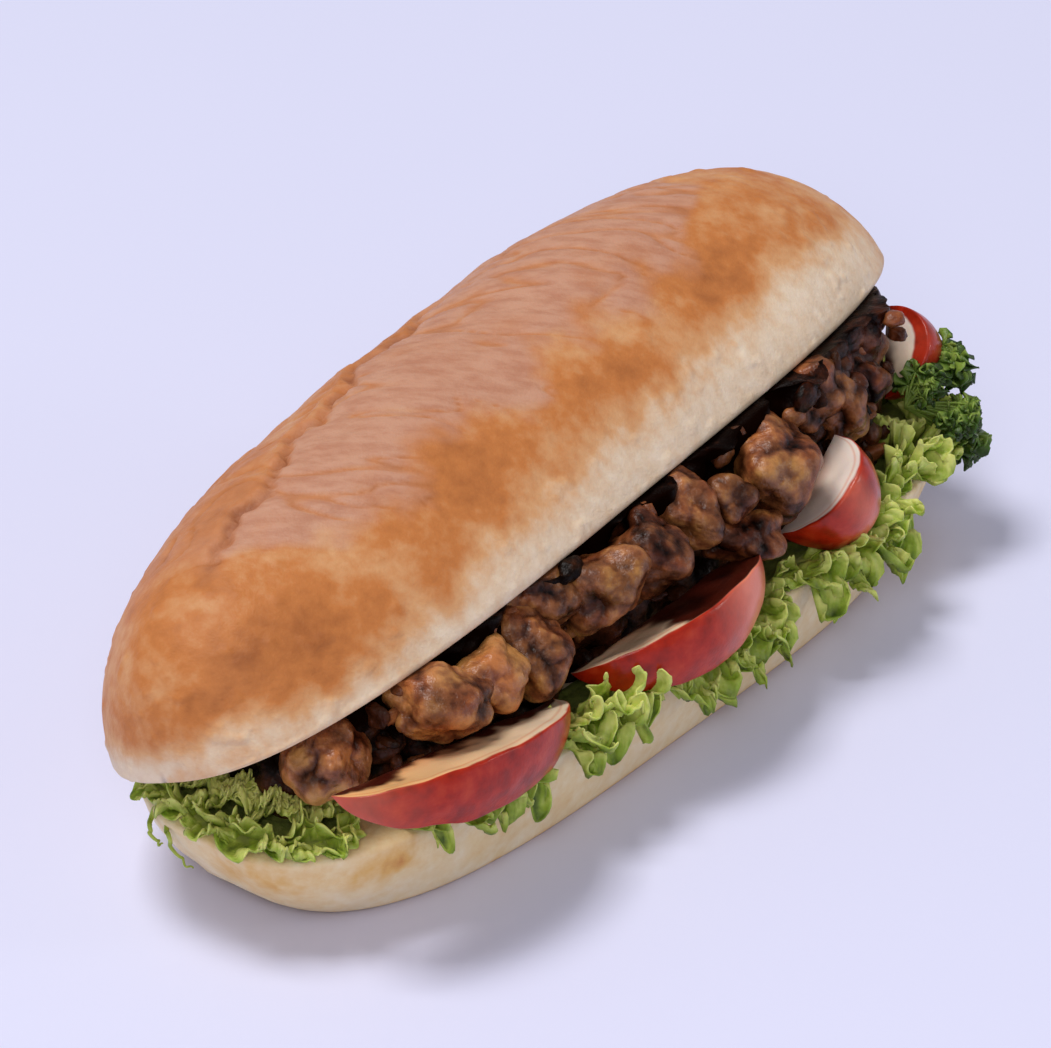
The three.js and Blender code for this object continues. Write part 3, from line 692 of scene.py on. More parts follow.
def wedge_shape(wedge, index):
    """A sector of an ellipsoid about its core line. At latitude a along it, x = half·sin(a),
    and the section is a sector of radius r·cos(a) whose corners a moving average rounds.

    Its values are how far each point is skin, lighter with the skin's painted pink sheen,
    painted dark with juice and shade, inside the skin in millimetres, and along the wedge
    from -1 to 1.
    """
    stations = 110
    facing = math.radians(wedge["facing"])
    opening = math.radians(wedge["open"])
    reach, angle, section = wedge_section(facing, opening)
    skin = (reach == 1.0).astype(float)
    latitude = math.pi * (np.arange(1, stations) / stations - 0.5)
    x = wedge["half"] * np.sin(latitude)
    radius = wedge["radius"] * np.cos(latitude)
    rings = np.empty((stations - 1, len(section), 3))
    rings[..., 0] = x[:, None]
    rings[..., 1:] = section[None] * radius[:, None, None]
    # the cut flesh dips a little between the skin wall and the core
    depth = reach[None, :] * radius[:, None]
    wall = radius[:, None] - depth
    dip = 0.3 * (1 - skin) * smooth(wall, 2.5, 9.5) * smooth(depth, 1.0, 4.0)
    dip = dip * np.sign(angle - facing - opening / 2)
    rings[..., 1] -= dip * np.sin(angle)
    rings[..., 2] += dip * np.cos(angle)
    rings += 0.25 * noise(rings, 7, 73 + index, 2)[..., None]
    rings = turned(rings, wedge["pitch"], wedge["yaw"]) + np.array(wedge["middle"])
    ends = turned(POLES * wedge["half"], wedge["pitch"], wedge["yaw"])
    ends = ends + np.array(wedge["middle"])
    press_down(rings)
    place = np.broadcast_to(x[:, None] / wedge["half"], rings.shape[:2])
    bare = np.broadcast_to(1 - skin, rings.shape[:2])
    blot = noise(rings, 6, 131 + index, 3)
    # the cut face is painted dark towards the core, as pan juice and as shade under the liver
    low, high = JUICE_AND_SHADE_START[index]
    juice_and_shade = smooth(wall / radius[:, None] + 0.25 * blot, low, high)
    if index == RIGHT_SHADED_WEDGE:
        juice_and_shade = np.maximum(juice_and_shade, smooth(place + 0.12 * blot, -0.3, -0.15))
    juice_and_shade = juice_and_shade * bare * smooth(-angle, -facing - 0.3, -facing - 0.05)
    red = 1 - smooth(wall + 0.8 * blot, RED_DEPTH[index] - 0.2, RED_DEPTH[index] + 0.6)
    # a lighter pink patch on the skin: painted sheen that stands in for its broad highlights
    spot, width, strength = PAINTED_SKIN_SHEEN[index]
    painted_sheen = strength * np.exp(-(((place - spot) / width) ** 2)) * (1 + 0.3 * blot)
    values = {
        "painted_sheen": with_poles(0, np.clip(painted_sheen, 0, 1), 0),
        "skin": with_poles(1, np.maximum(1 - bare, red), 1),
        "wall": with_poles(0, wall * bare, 0),
        "place": with_poles(-1, place, 1),
        "juice_and_shade": with_poles(0, juice_and_shade, 0),
    }
    return lofted(rings, *ends), values


def tomato_material(settings, left_colour, right_colour, name):
    """Ripe tomato cut with a knife: a tight glossy skin and wet flesh. That gives the eye a
    red rim with sharp highlights, a pink sheen painted on the skin, and a softly glowing cut
    face whose cream to pink is painted reflection of light, duller where it is painted shade."""
    material, tree, shader = new_material(name, {
        "Roughness": 0.28,
        "IOR": 1.4,
        "Specular IOR Level": 0.35,
        "Coat Weight": 0.15,
        "Coat Roughness": 0.1,
        "Subsurface Weight": 0.12,
        "Subsurface Radius": (0.006, 0.002, 0.001),
        "Subsurface Scale": 0.5,
    })
    skin, wall, place, painted_sheen, juice_and_shade = (
        add(tree, "ShaderNodeAttribute", attribute_name=key).outputs["Fac"]
        for key in ("skin", "wall", "place", "painted_sheen", "juice_and_shade")
    )
    mottle = grain(tree, 4.0, 3.0)
    skin_stops = [
        (0.30, settings.skin_dark_colour),
        (0.55, settings.skin_colour),
        (0.80, settings.skin_light_colour),
    ]
    ripe = add(tree, "ShaderNodeValToRGB", {"Fac": mottle}, stops=skin_stops)
    # the skin turns lighter pink where its sheen is painted
    skin_colour = add(
        tree,
        "ShaderNodeMix",
        {FACTOR: painted_sheen, FIRST: ripe.outputs[0], SECOND: (*settings.skin_painted_sheen_colour, 1.0)},
        data_type="RGBA",
    )
    # each cut face runs from left to right between two colours of painted reflection on wet flesh
    spread = add(tree, "ShaderNodeMath", {0: place, 1: 0.5, 2: 0.5}, operation="MULTIPLY_ADD")
    flesh_stops = [(0.15, left_colour), (0.75, right_colour)]
    flesh = add(tree, "ShaderNodeValToRGB", {"Fac": spread.outputs[0]}, stops=flesh_stops)
    # the flesh's tint from the skin inwards, 0.07 to the millimetre, with a vein at 2.3 mm
    depth_stops = [
        (0.0, (0.9, 0.55, 0.42)),
        (0.05, (1, 1, 1)),
        (0.12, (1, 0.97, 0.94)),
        (0.16, (0.9, 0.66, 0.58)),
        (0.21, (1, 0.98, 0.96)),
        (0.7, (0.97, 0.9, 0.84)),
        (1.0, (0.86, 0.6, 0.48)),
    ]
    near = add(tree, "ShaderNodeMath", {0: wall, 1: 0.07}, operation="MULTIPLY")
    depth = add(tree, "ShaderNodeValToRGB", {"Fac": near.outputs[0]}, stops=depth_stops)
    wet = add(
        tree,
        "ShaderNodeMix",
        {FACTOR: 1.0, FIRST: flesh.outputs[0], SECOND: depth.outputs[0]},
        data_type="RGBA",
        blend_type="MULTIPLY",
    )
    whole = add(
        tree,
        "ShaderNodeMix",
        {FACTOR: skin, FIRST: wet.outputs[MIXED], SECOND: skin_colour.outputs[MIXED]},
        data_type="RGBA",
    )
    # the dark of pan juice and of painted shade over the cut face
    juice_and_shade_mixed = add(
        tree,
        "ShaderNodeMix",
        {FACTOR: juice_and_shade, FIRST: whole.outputs[MIXED], SECOND: (*settings.juice_and_shade_colour, 1.0)},
        data_type="RGBA",
    )
    tree.links.new(juice_and_shade_mixed.outputs[MIXED], shader.inputs["Base Color"])
    cells = grain(tree, 0.7, 3.0)
    bump = add(tree, "ShaderNodeBump", {"Strength": 0.2, "Distance": 0.0003, "Height": cells})
    tree.links.new(bump.outputs[0], shader.inputs["Normal"])
    return material


# The fried pieces from left to right: the middle, the three radii, and the turn in degrees.
CHUNKS = [
    ((-91, -16, 37), (9, 8, 8), 20),
    ((-70, -26, 43), (11, 8, 7.5), -30),
    ((-56, -26, 42.5), (8.5, 7, 6.5), 10),
    ((-42, -25, 41), (9, 8, 8), 60),
    ((-34, -21, 47), (8.5, 7, 7), -10),
    ((-20, -26, 45), (9.5, 9, 8), 40),
    ((-6, -27, 47), (8, 8, 7.5), 15),
    ((9, -24, 47), (8, 7.5, 7.5), 70),
    ((19, -28, 46), (5.2, 5, 5), 0),
    ((20, -32, 39), (9, 5.5, 4.5), -25),
    ((36, -26, 46), (11, 9, 9.5), 30),
    ((57, -18, 49), (8.5, 7.5, 7.5), -20),
    ((64.5, -23, 44), (6.5, 5.5, 8.5), 15),
    ((83.5, -12, 47.5), (7.5, 6.5, 8), 35),
    ((77, -18.5, 44.5), (5.5, 5, 6), 80),
]


def ball_directions(stations, around):
    """Unit directions on a grid: latitude from pole to pole by turns about X."""
    latitude = math.pi * (np.arange(1, stations) / stations - 0.5)[:, None]
    turn = 2 * math.pi * np.arange(around)[None, :] / around
    across = np.cos(latitude)
    return spots(np.sin(latitude), across * np.cos(turn), across * np.sin(turn))


# The slow sines that make a fried piece uneven: which way they run, how high, their shift.
LOBES = [
    ((2.5, 1.6, 1.0), 0.14, 1.7),
    ((-1.9, 3.3, 2.8), 0.10, 2.9),
    ((3.1, -3.8, 3.9), 0.07, 4.1),
]


def chunk_points(directions, index):
    """A fried piece: radii times 1 + three slow sines, pushed out by lumps of 5.6 mm, crumbs
    of 2.1 mm and a grain. Also how dark each point is: its tone, with painted shade that
    deepens in the gaps between lumps and crumbs."""
    middle, radii, yaw = CHUNKS[index]
    factor = 1.0
    for along, size, phase in LOBES:
        factor = factor + size * np.sin(directions @ np.array(along) + phase * index)
    bare = directions * np.array(radii)
    key = bare + 61.0 * index
    bulge = noise(key, 8, 83, 2)
    lump = lumps(key + 1.8 * noise(key, 5, 87)[..., None], 5.6, 89)
    crumb = lumps(key, 2.1, 91)
    crisp = noise(key, 1.2, 97, 2)
    grow = min(radii) * 0.14 * bulge + 1.5 * (lump - 0.7) + 0.36 * (crumb - 0.7) + 0.12 * crisp
    points = bare * factor[..., None] + directions * grow[..., None]
    points = turned(points, 0, yaw) + np.array(middle)
    tone = 0.10 * math.sin(2.4 * index) + 0.30 * float(smooth(middle[0], -80, 0))
    # painted shade: darker in the creases between lumps and crumbs, added to the piece's tone
    tone_and_gap_shade = 0.86 + tone - 0.72 * lump - 0.2 * crumb - 0.12 * bulge - 0.1 * crisp
    return points, np.clip(tone_and_gap_shade, 0, 1)


def chunk_shape(index):
    """A fried piece as a closed mesh, pressed flat where it meets the top half."""
    points, tone_and_gap_shade = chunk_points(ball_directions(84, 120), index)
    ends, end_tone_and_gap_shade = chunk_points(POLES, index)
    press_down(points, PRESSED_GAP)
    press_down(ends, PRESSED_GAP)
    return lofted(points, *ends), {"tone_and_gap_shade": with_poles(end_tone_and_gap_shade[0], tone_and_gap_shade, end_tone_and_gap_shade[1])}


def bed_shape():
    """The rest of the filling, under the top half. Each ring goes along its floor, up its
    front and back over its roof. The front waves with two sines, and moves out by lumps of
    6.5 and 2.6 mm and up by lumps of 5 mm. It is painted darker in its gaps and under the
    roof, as shade."""
    stations, low, front_steps, roof_steps = 260, 10, 70, 12
    off_floor = 0.6
    along = np.sin((np.arange(1, stations) / stations - 0.5) * math.pi)[:, None]
    share = plan_share(along)
    x = FILLING_HALF_LENGTH * along
    front = -FILLING_FRONT * share + bend_at(along)
    back = FILLING_BACK * share + bend_at(along)
    rise = np.linspace(0, 1, front_steps)[None, :]
    floor_y = back + (front - back) * np.linspace(0, 1, low, endpoint=False)[None, :]
    floor = spots(x, floor_y, cut_face_z(floor_y) + off_floor)
    wave = 1.6 * np.sin(0.22 * x + 5 * rise) + 1.1 * np.sin(0.37 * x - 9 * rise)
    foot_z = cut_face_z(front)
    roof_z = np.maximum(top_face_z(x, front), foot_z + 1)
    face_z = foot_z + off_floor + (roof_z - foot_z - off_floor) * rise
    face = spots(x, front + wave * share, face_z)
    lump = lumps(face, 6.5, 101)
    crumb = lumps(face, 2.6, 103)
    outward = grid_normals(face)
    outward = -outward * np.sign(outward[stations // 2, front_steps // 2, 1])
    face[..., 2] += 1.6 * (lumps(face + 50, 5.0, 105) - 0.7) * rise
    face = face + outward * (3.4 * (lump - 0.6) + 0.9 * (crumb - 0.7))[..., None]
    roof_y = front + (back - front) * np.linspace(0, 1, roof_steps + 1)[None, 1:]
    roof = spots(x, roof_y, ABOVE_FILLING)
    rings = np.concatenate([floor, face, roof], axis=1)
    press_down(rings, PRESSED_GAP)
    rings[..., 2] = np.maximum(rings[..., 2], cut_face_z(rings[..., 1]) + 0.5)
    ends = POLES * FILLING_HALF_LENGTH + [0, 0, 30.0]
    tone_and_gap_shade = np.full(rings.shape[:2], 0.85)
    # painted shade high up under the top half on the left, and in the gaps between lumps
    shade = 0.3 * smooth(rise, 0.55, 0.9) * smooth(-x, -60, -40)
    gaps = 1.3 - 0.6 * lump - 0.2 * crumb + shade
    tone_and_gap_shade[:, low:low + front_steps] = np.clip(gaps, 0, 1)
    return lofted(rings, *ends), {"tone_and_gap_shade": with_poles(1, tone_and_gap_shade, 1)}


BITS_COUNT = 150


def bits_shape(count):
    """Small fried bits: uneven balls 2 to 5 mm wide, strewn over the front of the filling.

    Each lies at a random place along the roll and up the filling's front, a little way out.
    """
    draw = np.random.default_rng(5)
    x = draw.uniform(-88, 86, count)
    rise = draw.uniform(0, 1, count) ** 0.8
    out = draw.uniform(-1.5, 2.0, count)
    size = draw.uniform(1.2, 2.6, count)
    along = x / ROLL_HALF_LENGTH
    y = -FILLING_FRONT * plan_share(along) + bend_at(along) - out
    low = cut_face_z(y) + 2.0
    high = top_face_z(x, y) - size
    middle = spots(x, y, low + (high - low) * rise)
    directions = ball_directions(12, 16)
    parts, tone_and_gap_shade = [], []
    for index in range(count):
        radii = size[index] * (1 + 0.5 * draw.uniform(-1, 1, 3))
        ball, ends = (
            way * radii * (1 + 0.4 * noise(way * 2, 2.2, 700 + index, 2))[..., None]
            + middle[index]
            for way in (directions, POLES)
        )
        parts.append(lofted(ball, *ends))
        tone_and_gap_shade.append(np.full(len(parts[-1][0]), draw.uniform(0.3, 0.85)))
    return joined(parts), {"tone_and_gap_shade": np.concatenate(tone_and_gap_shade)}


def liver_material(settings):
    """Chicken liver fried in fat: a firm brown surface with crisp spots and a film of fat.
    That gives the eye warm tan lumps and small broken highlights; its near black creases
    are painted shade."""
    material, tree, shader = new_material("Pan-fried liver", {
        "Roughness": 0.28,
        "IOR": 1.42,
        "Subsurface Weight": 0.04,
        "Subsurface Radius": (0.003, 0.001, 0.0006),
        "Subsurface Scale": 0.5,
    })
    tone_and_gap_shade = add(tree, "ShaderNodeAttribute", attribute_name="tone_and_gap_shade").outputs["Fac"]
    mottle = grain(tree, 3.0, 6.0, 1.0, 0.65)
    fine = grain(tree, 0.9, 4.0)
    part = add(tree, "ShaderNodeMath", {0: mottle, 1: 0.8, 2: -0.4}, operation="MULTIPLY_ADD")
    level = add(tree, "ShaderNodeMath", {0: tone_and_gap_shade, 1: part.outputs[0]}, operation="ADD")
    stops = [
        (0.05, settings.liver_light_colour),
        (0.32, settings.liver_colour),
        (0.58, settings.liver_brown_colour),
        (0.85, settings.liver_gap_shade_colour),
    ]
    fried = add(tree, "ShaderNodeValToRGB", {"Fac": level.outputs[0]}, stops=stops)
    # some parts are redder and some more olive than the rest
    hue_stops = [(0.36, (1.0, 0.8, 0.7)), (0.5, (1, 1, 1)), (0.64, (0.9, 0.98, 0.82))]
    hue = add(tree, "ShaderNodeValToRGB", {"Fac": grain(tree, 9.0, 2.0)}, stops=hue_stops)
    colour = add(
        tree,
        "ShaderNodeMix",
        {FACTOR: 1.0, FIRST: fried.outputs[0], SECOND: hue.outputs[0]},
        data_type="RGBA",
        blend_type="MULTIPLY",
    )
    tree.links.new(colour.outputs[MIXED], shader.inputs["Base Color"])
    # the deep gaps are dull, and the tops wet with fat
    shine = add(
        tree,
        "ShaderNodeMath",
        {0: tone_and_gap_shade, 1: -0.75, 2: 0.75},
        operation="MULTIPLY_ADD",
        use_clamp=True,
    )
    tree.links.new(shine.outputs[0], shader.inputs["Specular IOR Level"])
    bump = add(tree, "ShaderNodeBump", {"Strength": 0.6, "Distance": 0.0005, "Height": fine})
    tree.links.new(bump.outputs[0], shader.inputs["Normal"])
    return material


def measure_rim():
    """The cut face's edge as points with their length from the left end, front first."""
    angle = np.radians(np.linspace(-80, 260, 1801))
    x, y = bottom_outline(angle, 1.0, 1.0)
    step = np.hypot(np.diff(x), np.diff(y))
    length = np.concatenate([[0], np.cumsum(step)])
    length -= np.interp(0.0, angle, length)
    return length, x, y


RIM = measure_rim()


def rim_point(length):
    """The point of the rim at a length along it."""
    return np.stack([np.interp(length, RIM[0], RIM[1]), np.interp(length, RIM[0], RIM[2])], axis=-1)


def rim_outward(length):
    """The way out of the roll at a length along its rim: square to the rim's direction."""
    along = rim_point(length + 4) - rim_point(length - 4)
    across = np.stack([along[..., 1], -along[..., 0]], axis=-1)
    return across / np.linalg.norm(across, axis=-1, keepdims=True)


def rim_length_at(x):
    """How far along the front edge the roll reaches a given x."""
    front = (RIM[0] > 0) & (RIM[1] >= x)
    return RIM[0][np.argmax(front)]


def leaf_list():
    """The six leaves: where each starts and ends along the rim, how far it reaches past it,
    its lift, the height and the phase of its frill, and how far its low waves hang."""
    right_end = rim_length_at(BOTTOM_HALF_LENGTH - 0.05)
    at = rim_length_at
    return [
        (-24, at(-92), 0.8, 1, 3, 0.4, 0.1),
        (at(-84), at(-50), 4.5, 0, 4.5, 1.9, 1.3),
        (at(-48.5), at(-17), 7, 3, 7.5, 0.2, 1.4),
        (at(-15.5), at(28), 7.5, -1.5, 5, 2.6, 1.5),
        (at(29.5), at(72), 7, 0, 5, 1.2, 1.5),
        (at(73.5), right_end + 4, 3.5, 3, 5, 3.0, 0.8),
    ]


# Each layer: how far inside the rim it starts, how much shorter, lift, size of waves, phase.
LAYERS = [
    (13.0, 0.0, 0.0, 1.0, 0.0),
    (11.0, 3.0, 3.0, 0.8, 2.1),
    (7.0, 1.0, -1.5, 0.8, 4.0),
    (13.0, 8.0, 3.0, 0.6, 5.2),
]
# More layers for the leaves at both ends, where more of the leaf shows.
INNER_LAYERS = {
    0: [(15.0, 9.0, 4.0, 0.7, 1.1), (14.0, 5.0, 2.5, 0.9, 3.1), (16.0, 12.0, 4.0, 0.8, 0.6)],
    5: [(15.0, 9.0, 4.0, 0.7, 1.1)],
}
# How far apart a leaf's grid lines lie, and how long its waves are, from broad to fine.
LEAF_GRID = 0.26
FRILL_WAVE = 13.0
CURL_WAVE = 4.1
CRIMP_WAVE = 1.7
# How far above the cut face the leaves lie, and how low they may hang over the floor.
LEAF_REST = GAP + 0.6
LEAF_LOWEST = 2.5
# The clear space between the leaves and the top half's cut face.
LEAF_GAP = 1.0
# How far past the rim a leaf has to reach before it may hang.
LEAF_CLEAR_OF_EDGE = 1.6


def leaf_layer(leaf, index, layer, thickness):
    """One ruffled layer of a leaf. Past the edge it waves up and down with the 13 mm frill.

    Curls of 4.1 mm and crimps of 1.7 mm grow with powers of the way out, and the border is
    torn into points by a random wave of 1.3 mm, so that it looks finely crimped. It comes
    with how frilled each point is, and its painted light and shade: lighter on raised curls,
    crimps and tips, darker in the folds.
    """
    start, end, reach, lift, frill, phase0, hang = leaf
    inside, shorter, more_lift, size, shift = layer
    length = np.linspace(start, end, int((end - start) / LEAF_GRID))[:, None]
    v = np.linspace(0, 1, 30)[None, :] ** 0.8
    flat_key = spots(length, 0.0, 9.1 * index + 3.3 * shift)
    key = flat_key + spots(0, 30 * v, 0)
    slow = noise(flat_key, 17, 107, 2)
    ragged = 1 + 0.2 * noise(flat_key, 8, 109, 2)
    torn = 0.9 * noise(flat_key, 2.6, 111, 2) + 0.8 * noise(flat_key, 1.3, 115)
    taper = smooth(length - start, -2, 8) * smooth(end - length, -2, 5)
    tip = np.maximum((reach - shorter) * ragged, 2 - inside) * taper - 3 * (1 - taper)
    beyond = -inside + v * (inside + tip)
    # the frill starts six tenths of the way from the inner border to the rim
    out = np.clip((beyond + 0.4 * inside) / (tip + 0.4 * inside), 0, 1)
    phase = 2 * math.pi * (length + 2.0 * slow) / FRILL_WAVE
    wave = phase + phase0 + shift + 0.9 * np.sin(0.37 * phase)
    curl = 2 * math.pi * (length + 2.2 * noise(key, 5, 113, 2)) / CURL_WAVE
    curl = curl + 1.5 * np.sin(wave)
    tiny = 2 * math.pi * (length + 1.2 * noise(key, 2.5, 117)) / CRIMP_WAVE
    tiny = tiny + 4 * slow + 2 * np.sin(curl)
    bumps = noise(key * [1, 0.35, 1], 1.9, 127, 2)
    height = (lift + more_lift + 0.75 * frill * size * np.sin(wave) * (1 + 0.4 * slow)) * out
    strong = 1 + 0.6 * noise(flat_key, 6, 119)
    crimp = min(size + 0.1, 1.0)
    height += 1.35 * crimp * strong * out**1.3 * np.sin(curl)
    height += 0.5 * crimp * out**2 * np.sin(tiny)
    height += 1.0 * bumps * out
    spread = beyond + 1.6 * out * np.cos(1.31 * phase + phase0) + 0.9 * out**1.5 * np.cos(curl)
    spread += out**4 * torn
    slide = 1.2 * size * out**1.5 * np.sin(2 * wave + 0.7) + 0.8 * out**2 * np.sin(curl + 1.2)
    outward = rim_outward(length + slide)
    x, y = np.moveaxis(rim_point(length + slide) + outward * spread[..., None], -1, 0)
    hanging = np.clip((spread - LEAF_CLEAR_OF_EDGE) / 2.5, 0, 1) * hang
    z = cut_face_z(y) + LEAF_REST + np.where(height > 0, height, height * hanging)
    middle = spots(x, y, z)
    press_down(middle, LEAF_GAP)
    middle[..., 2] = np.maximum(middle[..., 2], LEAF_LOWEST)
    shape = sheet(middle, thickness * (1 - 0.5 * out))
    # painted light and shade: lighter on raised curls, crimps and bumps and towards the tips,
    # darker in the folds
    ridge_light_and_fold_shade = 0.46 + 0.2 * out * np.sin(curl) + 0.14 * out * np.sin(tiny) + 0.1 * bumps
    ridge_light_and_fold_shade = np.clip(ridge_light_and_fold_shade + 0.2 * out**3 + 0.03 * np.clip(height, -3, 6), 0, 1)
    return shape, np.tile(out.ravel(), 2), np.tile(ridge_light_and_fold_shade.ravel(), 2)


# The shreds that hang from the left leaf, each by its turning points.
SHREDS = [
    [(-107.5, 10.0, 21.8), (-110.0, 8.6, 19.0), (-107.2, 8.4, 13.0), (-104.2, 7.4, 8.5)],
    [(-106.5, 14.0, 21.8), (-110.5, 13.0, 19.5), (-110.0, 11.4, 17.0), (-108.6, 11.0, 15.0)],
]


def tube_shape(points, radii, frilled, ridge_light_and_fold_shade, around=8):
    """A closed tube through points: rings square to the path, about a fixed side vector.
    The whole tube has the given frill and the given painted light and shade."""
    way = np.gradient(points, axis=0)
    way /= np.linalg.norm(way, axis=1, keepdims=True)
    side = np.cross(way, [0.3, 0.9, 0.2])
    side /= np.linalg.norm(side, axis=1, keepdims=True)
    other = np.cross(way, side)
    turn = (2 * math.pi * np.arange(around) / around)[None, :, None]
    ring = side[:, None] * np.cos(turn) + other[:, None] * np.sin(turn)
    shape = lofted(points[:, None] + ring * radii[:, None, None], points[0], points[-1])
    return shape, np.full(len(shape[0]), frilled), np.full(len(shape[0]), ridge_light_and_fold_shade)


def shred_shape(turns):
    """A thin shred: a tube along the line through its turning points, with small waves."""
    t = np.linspace(0, len(turns) - 1, 48)
    path = [np.interp(t, range(len(turns)), axis) for axis in np.array(turns).T]
    path = np.stack(path, axis=-1) + 0.35 * np.sin(np.outer(t, [7.0, 5.0, 9.0]))
    return tube_shape(path, 0.62 - 0.15 * t, 1.0, 0.55)


def joined_leaves(parts):
    """Several (shape, frilled, painted light and shade) as one shape and its values."""
    shapes, frilled, ridge_light_and_fold_shade = zip(*parts)
    return joined(shapes), {"frilled": np.concatenate(frilled), "ridge_light_and_fold_shade": np.concatenate(ridge_light_and_fold_shade)}


def leaf_shape(leaf, index, thickness):
    """A leaf: its layers, and the shreds of the left one."""
    layers = LAYERS + INNER_LAYERS.get(index, [])
    parts = [leaf_layer(leaf, index, layer, thickness) for layer in layers]
    if index == 0:
        parts += [shred_shape(turns) for turns in SHREDS]
    return joined_leaves(parts)


def leaf_material(name, colours, vein_mm):
    """A fresh curly leaf: thin, waxy and lit from both sides. That gives the eye bright
    yellow-green ridges, partly their own colour and partly painted highlight, folds
    darkened as painted shade, and small soft highlights."""
    material, tree, shader = new_material(name, {
        "Roughness": 0.38,
        "IOR": 1.42,
        "Specular IOR Level": 0.45,
        "Subsurface Weight": 0.25,
        "Subsurface Radius": (0.001, 0.002, 0.0005),
        "Subsurface Scale": 0.8,
    })
    frilled, ridge_light_and_fold_shade = (
        add(tree, "ShaderNodeAttribute", attribute_name=key).outputs["Fac"]
        for key in ("frilled", "ridge_light_and_fold_shade")
    )
    mottle = grain(tree, 3.5, 4.0)
    fine = grain(tree, vein_mm, 3.0)
    part = add(tree, "ShaderNodeMath", {0: mottle, 1: 0.9, 2: -0.45}, operation="MULTIPLY_ADD")
    level = add(tree, "ShaderNodeMath", {0: ridge_light_and_fold_shade, 1: part.outputs[0]}, operation="ADD")
    dark, middle, light, rib_colour = colours
    stops = [(0.1, dark), (0.5, middle), (0.9, light)]
    green = add(tree, "ShaderNodeValToRGB", {"Fac": level.outputs[0]}, stops=stops)
    rib = add(tree, "ShaderNodeMath", {0: 0.35, 1: frilled}, operation="SUBTRACT", use_clamp=True)
    colour = add(
        tree,
        "ShaderNodeMix",
        {FACTOR: rib.outputs[0], FIRST: green.outputs[0], SECOND: (*rib_colour, 1.0)},
        data_type="RGBA",
    )
    tree.links.new(colour.outputs[MIXED], shader.inputs["Base Color"])
    bump = add(tree, "ShaderNodeBump", {"Strength": 0.5, "Distance": 0.0005, "Height": fine})
    tree.links.new(bump.outputs[0], shader.inputs["Normal"])
    return material


PARSLEY_ROOT = np.array([90.0, -22.0, 33.0])
# The sprig's leaflets: where the tip lies, its size, and the phase of its lobes.
LEAFLETS = [
    ((94, -23.5, 37.5), 5.5, 0.2),
    ((103, -22.5, 38.5), 6.5, 1.4),
    ((97, -31, 32), 6.0, 2.5),
    ((103.8, -28.5, 21.5), 6.5, 3.1),
]
SPRAY_COUNT = 17


def spray_tips():
    """The curled tips of the parsley: each leaflet breaks up into small ones round it."""
    draw = np.random.default_rng(11)
    for tip, size, turn in LEAFLETS:
        for index in range(SPRAY_COUNT):
            way = draw.normal(size=3)
            way = way / np.linalg.norm(way)
            spot = np.array(tip) + way * size * 0.6 * draw.uniform(0.3, 1.0)
            yield spot, size * draw.uniform(0.46, 0.64), turn + 1.3 * index


def leaflet_shape(tip, size, turn):
    """A curled leaflet: a fan whose edge has lobes, (1 + 0.22·cos 7a + 0.12·cos 19a), and
    whose height waves with 5, 13 and 23 curls that grow towards the edge."""
    outward = tip - PARSLEY_ROOT
    outward = outward / np.linalg.norm(outward)
    sideways = np.cross(outward, [0, 0, 1])
    sideways = sideways / np.linalg.norm(sideways)
    up = np.cross(sideways, outward)
    angle = np.linspace(-0.86, 0.86, 76)[:, None] * math.pi
    v = np.linspace(0.08, 1, 8)[None, :]
    lobes = 1 + 0.22 * np.cos(7 * angle + turn) + 0.12 * np.cos(19 * angle + 2 * turn)
    reach = size * v * lobes
    curl = size * (0.42 * v * np.sin(5 * angle + turn) + 0.2 * v**2 * np.sin(13 * angle + 3 * turn))
    curl = curl + 0.1 * size * v**3 * np.sin(23 * angle) - 0.2 * reach * v
    side = angle + 0.35 * v**2 * np.sin(11 * angle + turn)
    # outwards, sideways and up from the tip
    ways = np.stack([outward, sideways, up])
    middle = tip + spots(reach * np.cos(side) * 0.8, reach * np.sin(side), curl) @ ways
    shape = sheet(middle, np.full(middle.shape[:2], 0.35))
    frilled = np.broadcast_to(v, curl.shape).ravel()
    # painted light and shade: lighter where the leaflet curls up, darker where it curls down
    ridge_light_and_fold_shade = np.clip(0.5 + curl.ravel() / size, 0, 1)
    return shape, np.tile(frilled, 2), np.tile(ridge_light_and_fold_shade, 2)


def stalk_shape(tip):
    """A parsley stalk: a bowed line from the root to the leaflet, thinner towards its end."""
    t = np.linspace(0, 1, 12)[:, None]
    bow = np.array([0, 0, 3.0]) * t * (1 - t)
    points = PARSLEY_ROOT * (1 - t) + tip * t + bow
    return tube_shape(points, 0.4 * (1 - 0.45 * t[:, 0]), 0.4, 0.8)


def parsley_shape():
    """The sprig: each curled tip with its stalk."""
    parts = []
    for tip, size, turn in spray_tips():
        parts += [leaflet_shape(tip, size, turn), stalk_shape(tip)]
    return joined_leaves(parts)


def colour_property(name, description, text):
    """A colour that the user may change, stored as a linear colour."""
    return bpy.props.FloatVectorProperty(
        name=name,
        description=description,
        subtype="COLOR",
        size=3,
        min=0.0,
        max=1.0,
        default=hex_colour(text),
    )


def number_property(name, description, default, high, unit, low=0.0):
    """A size, power or strength that the user may change, in metres or watts."""
    return bpy.props.FloatProperty(
        name=name, description=description, default=default, min=low, max=high, unit=unit
    )


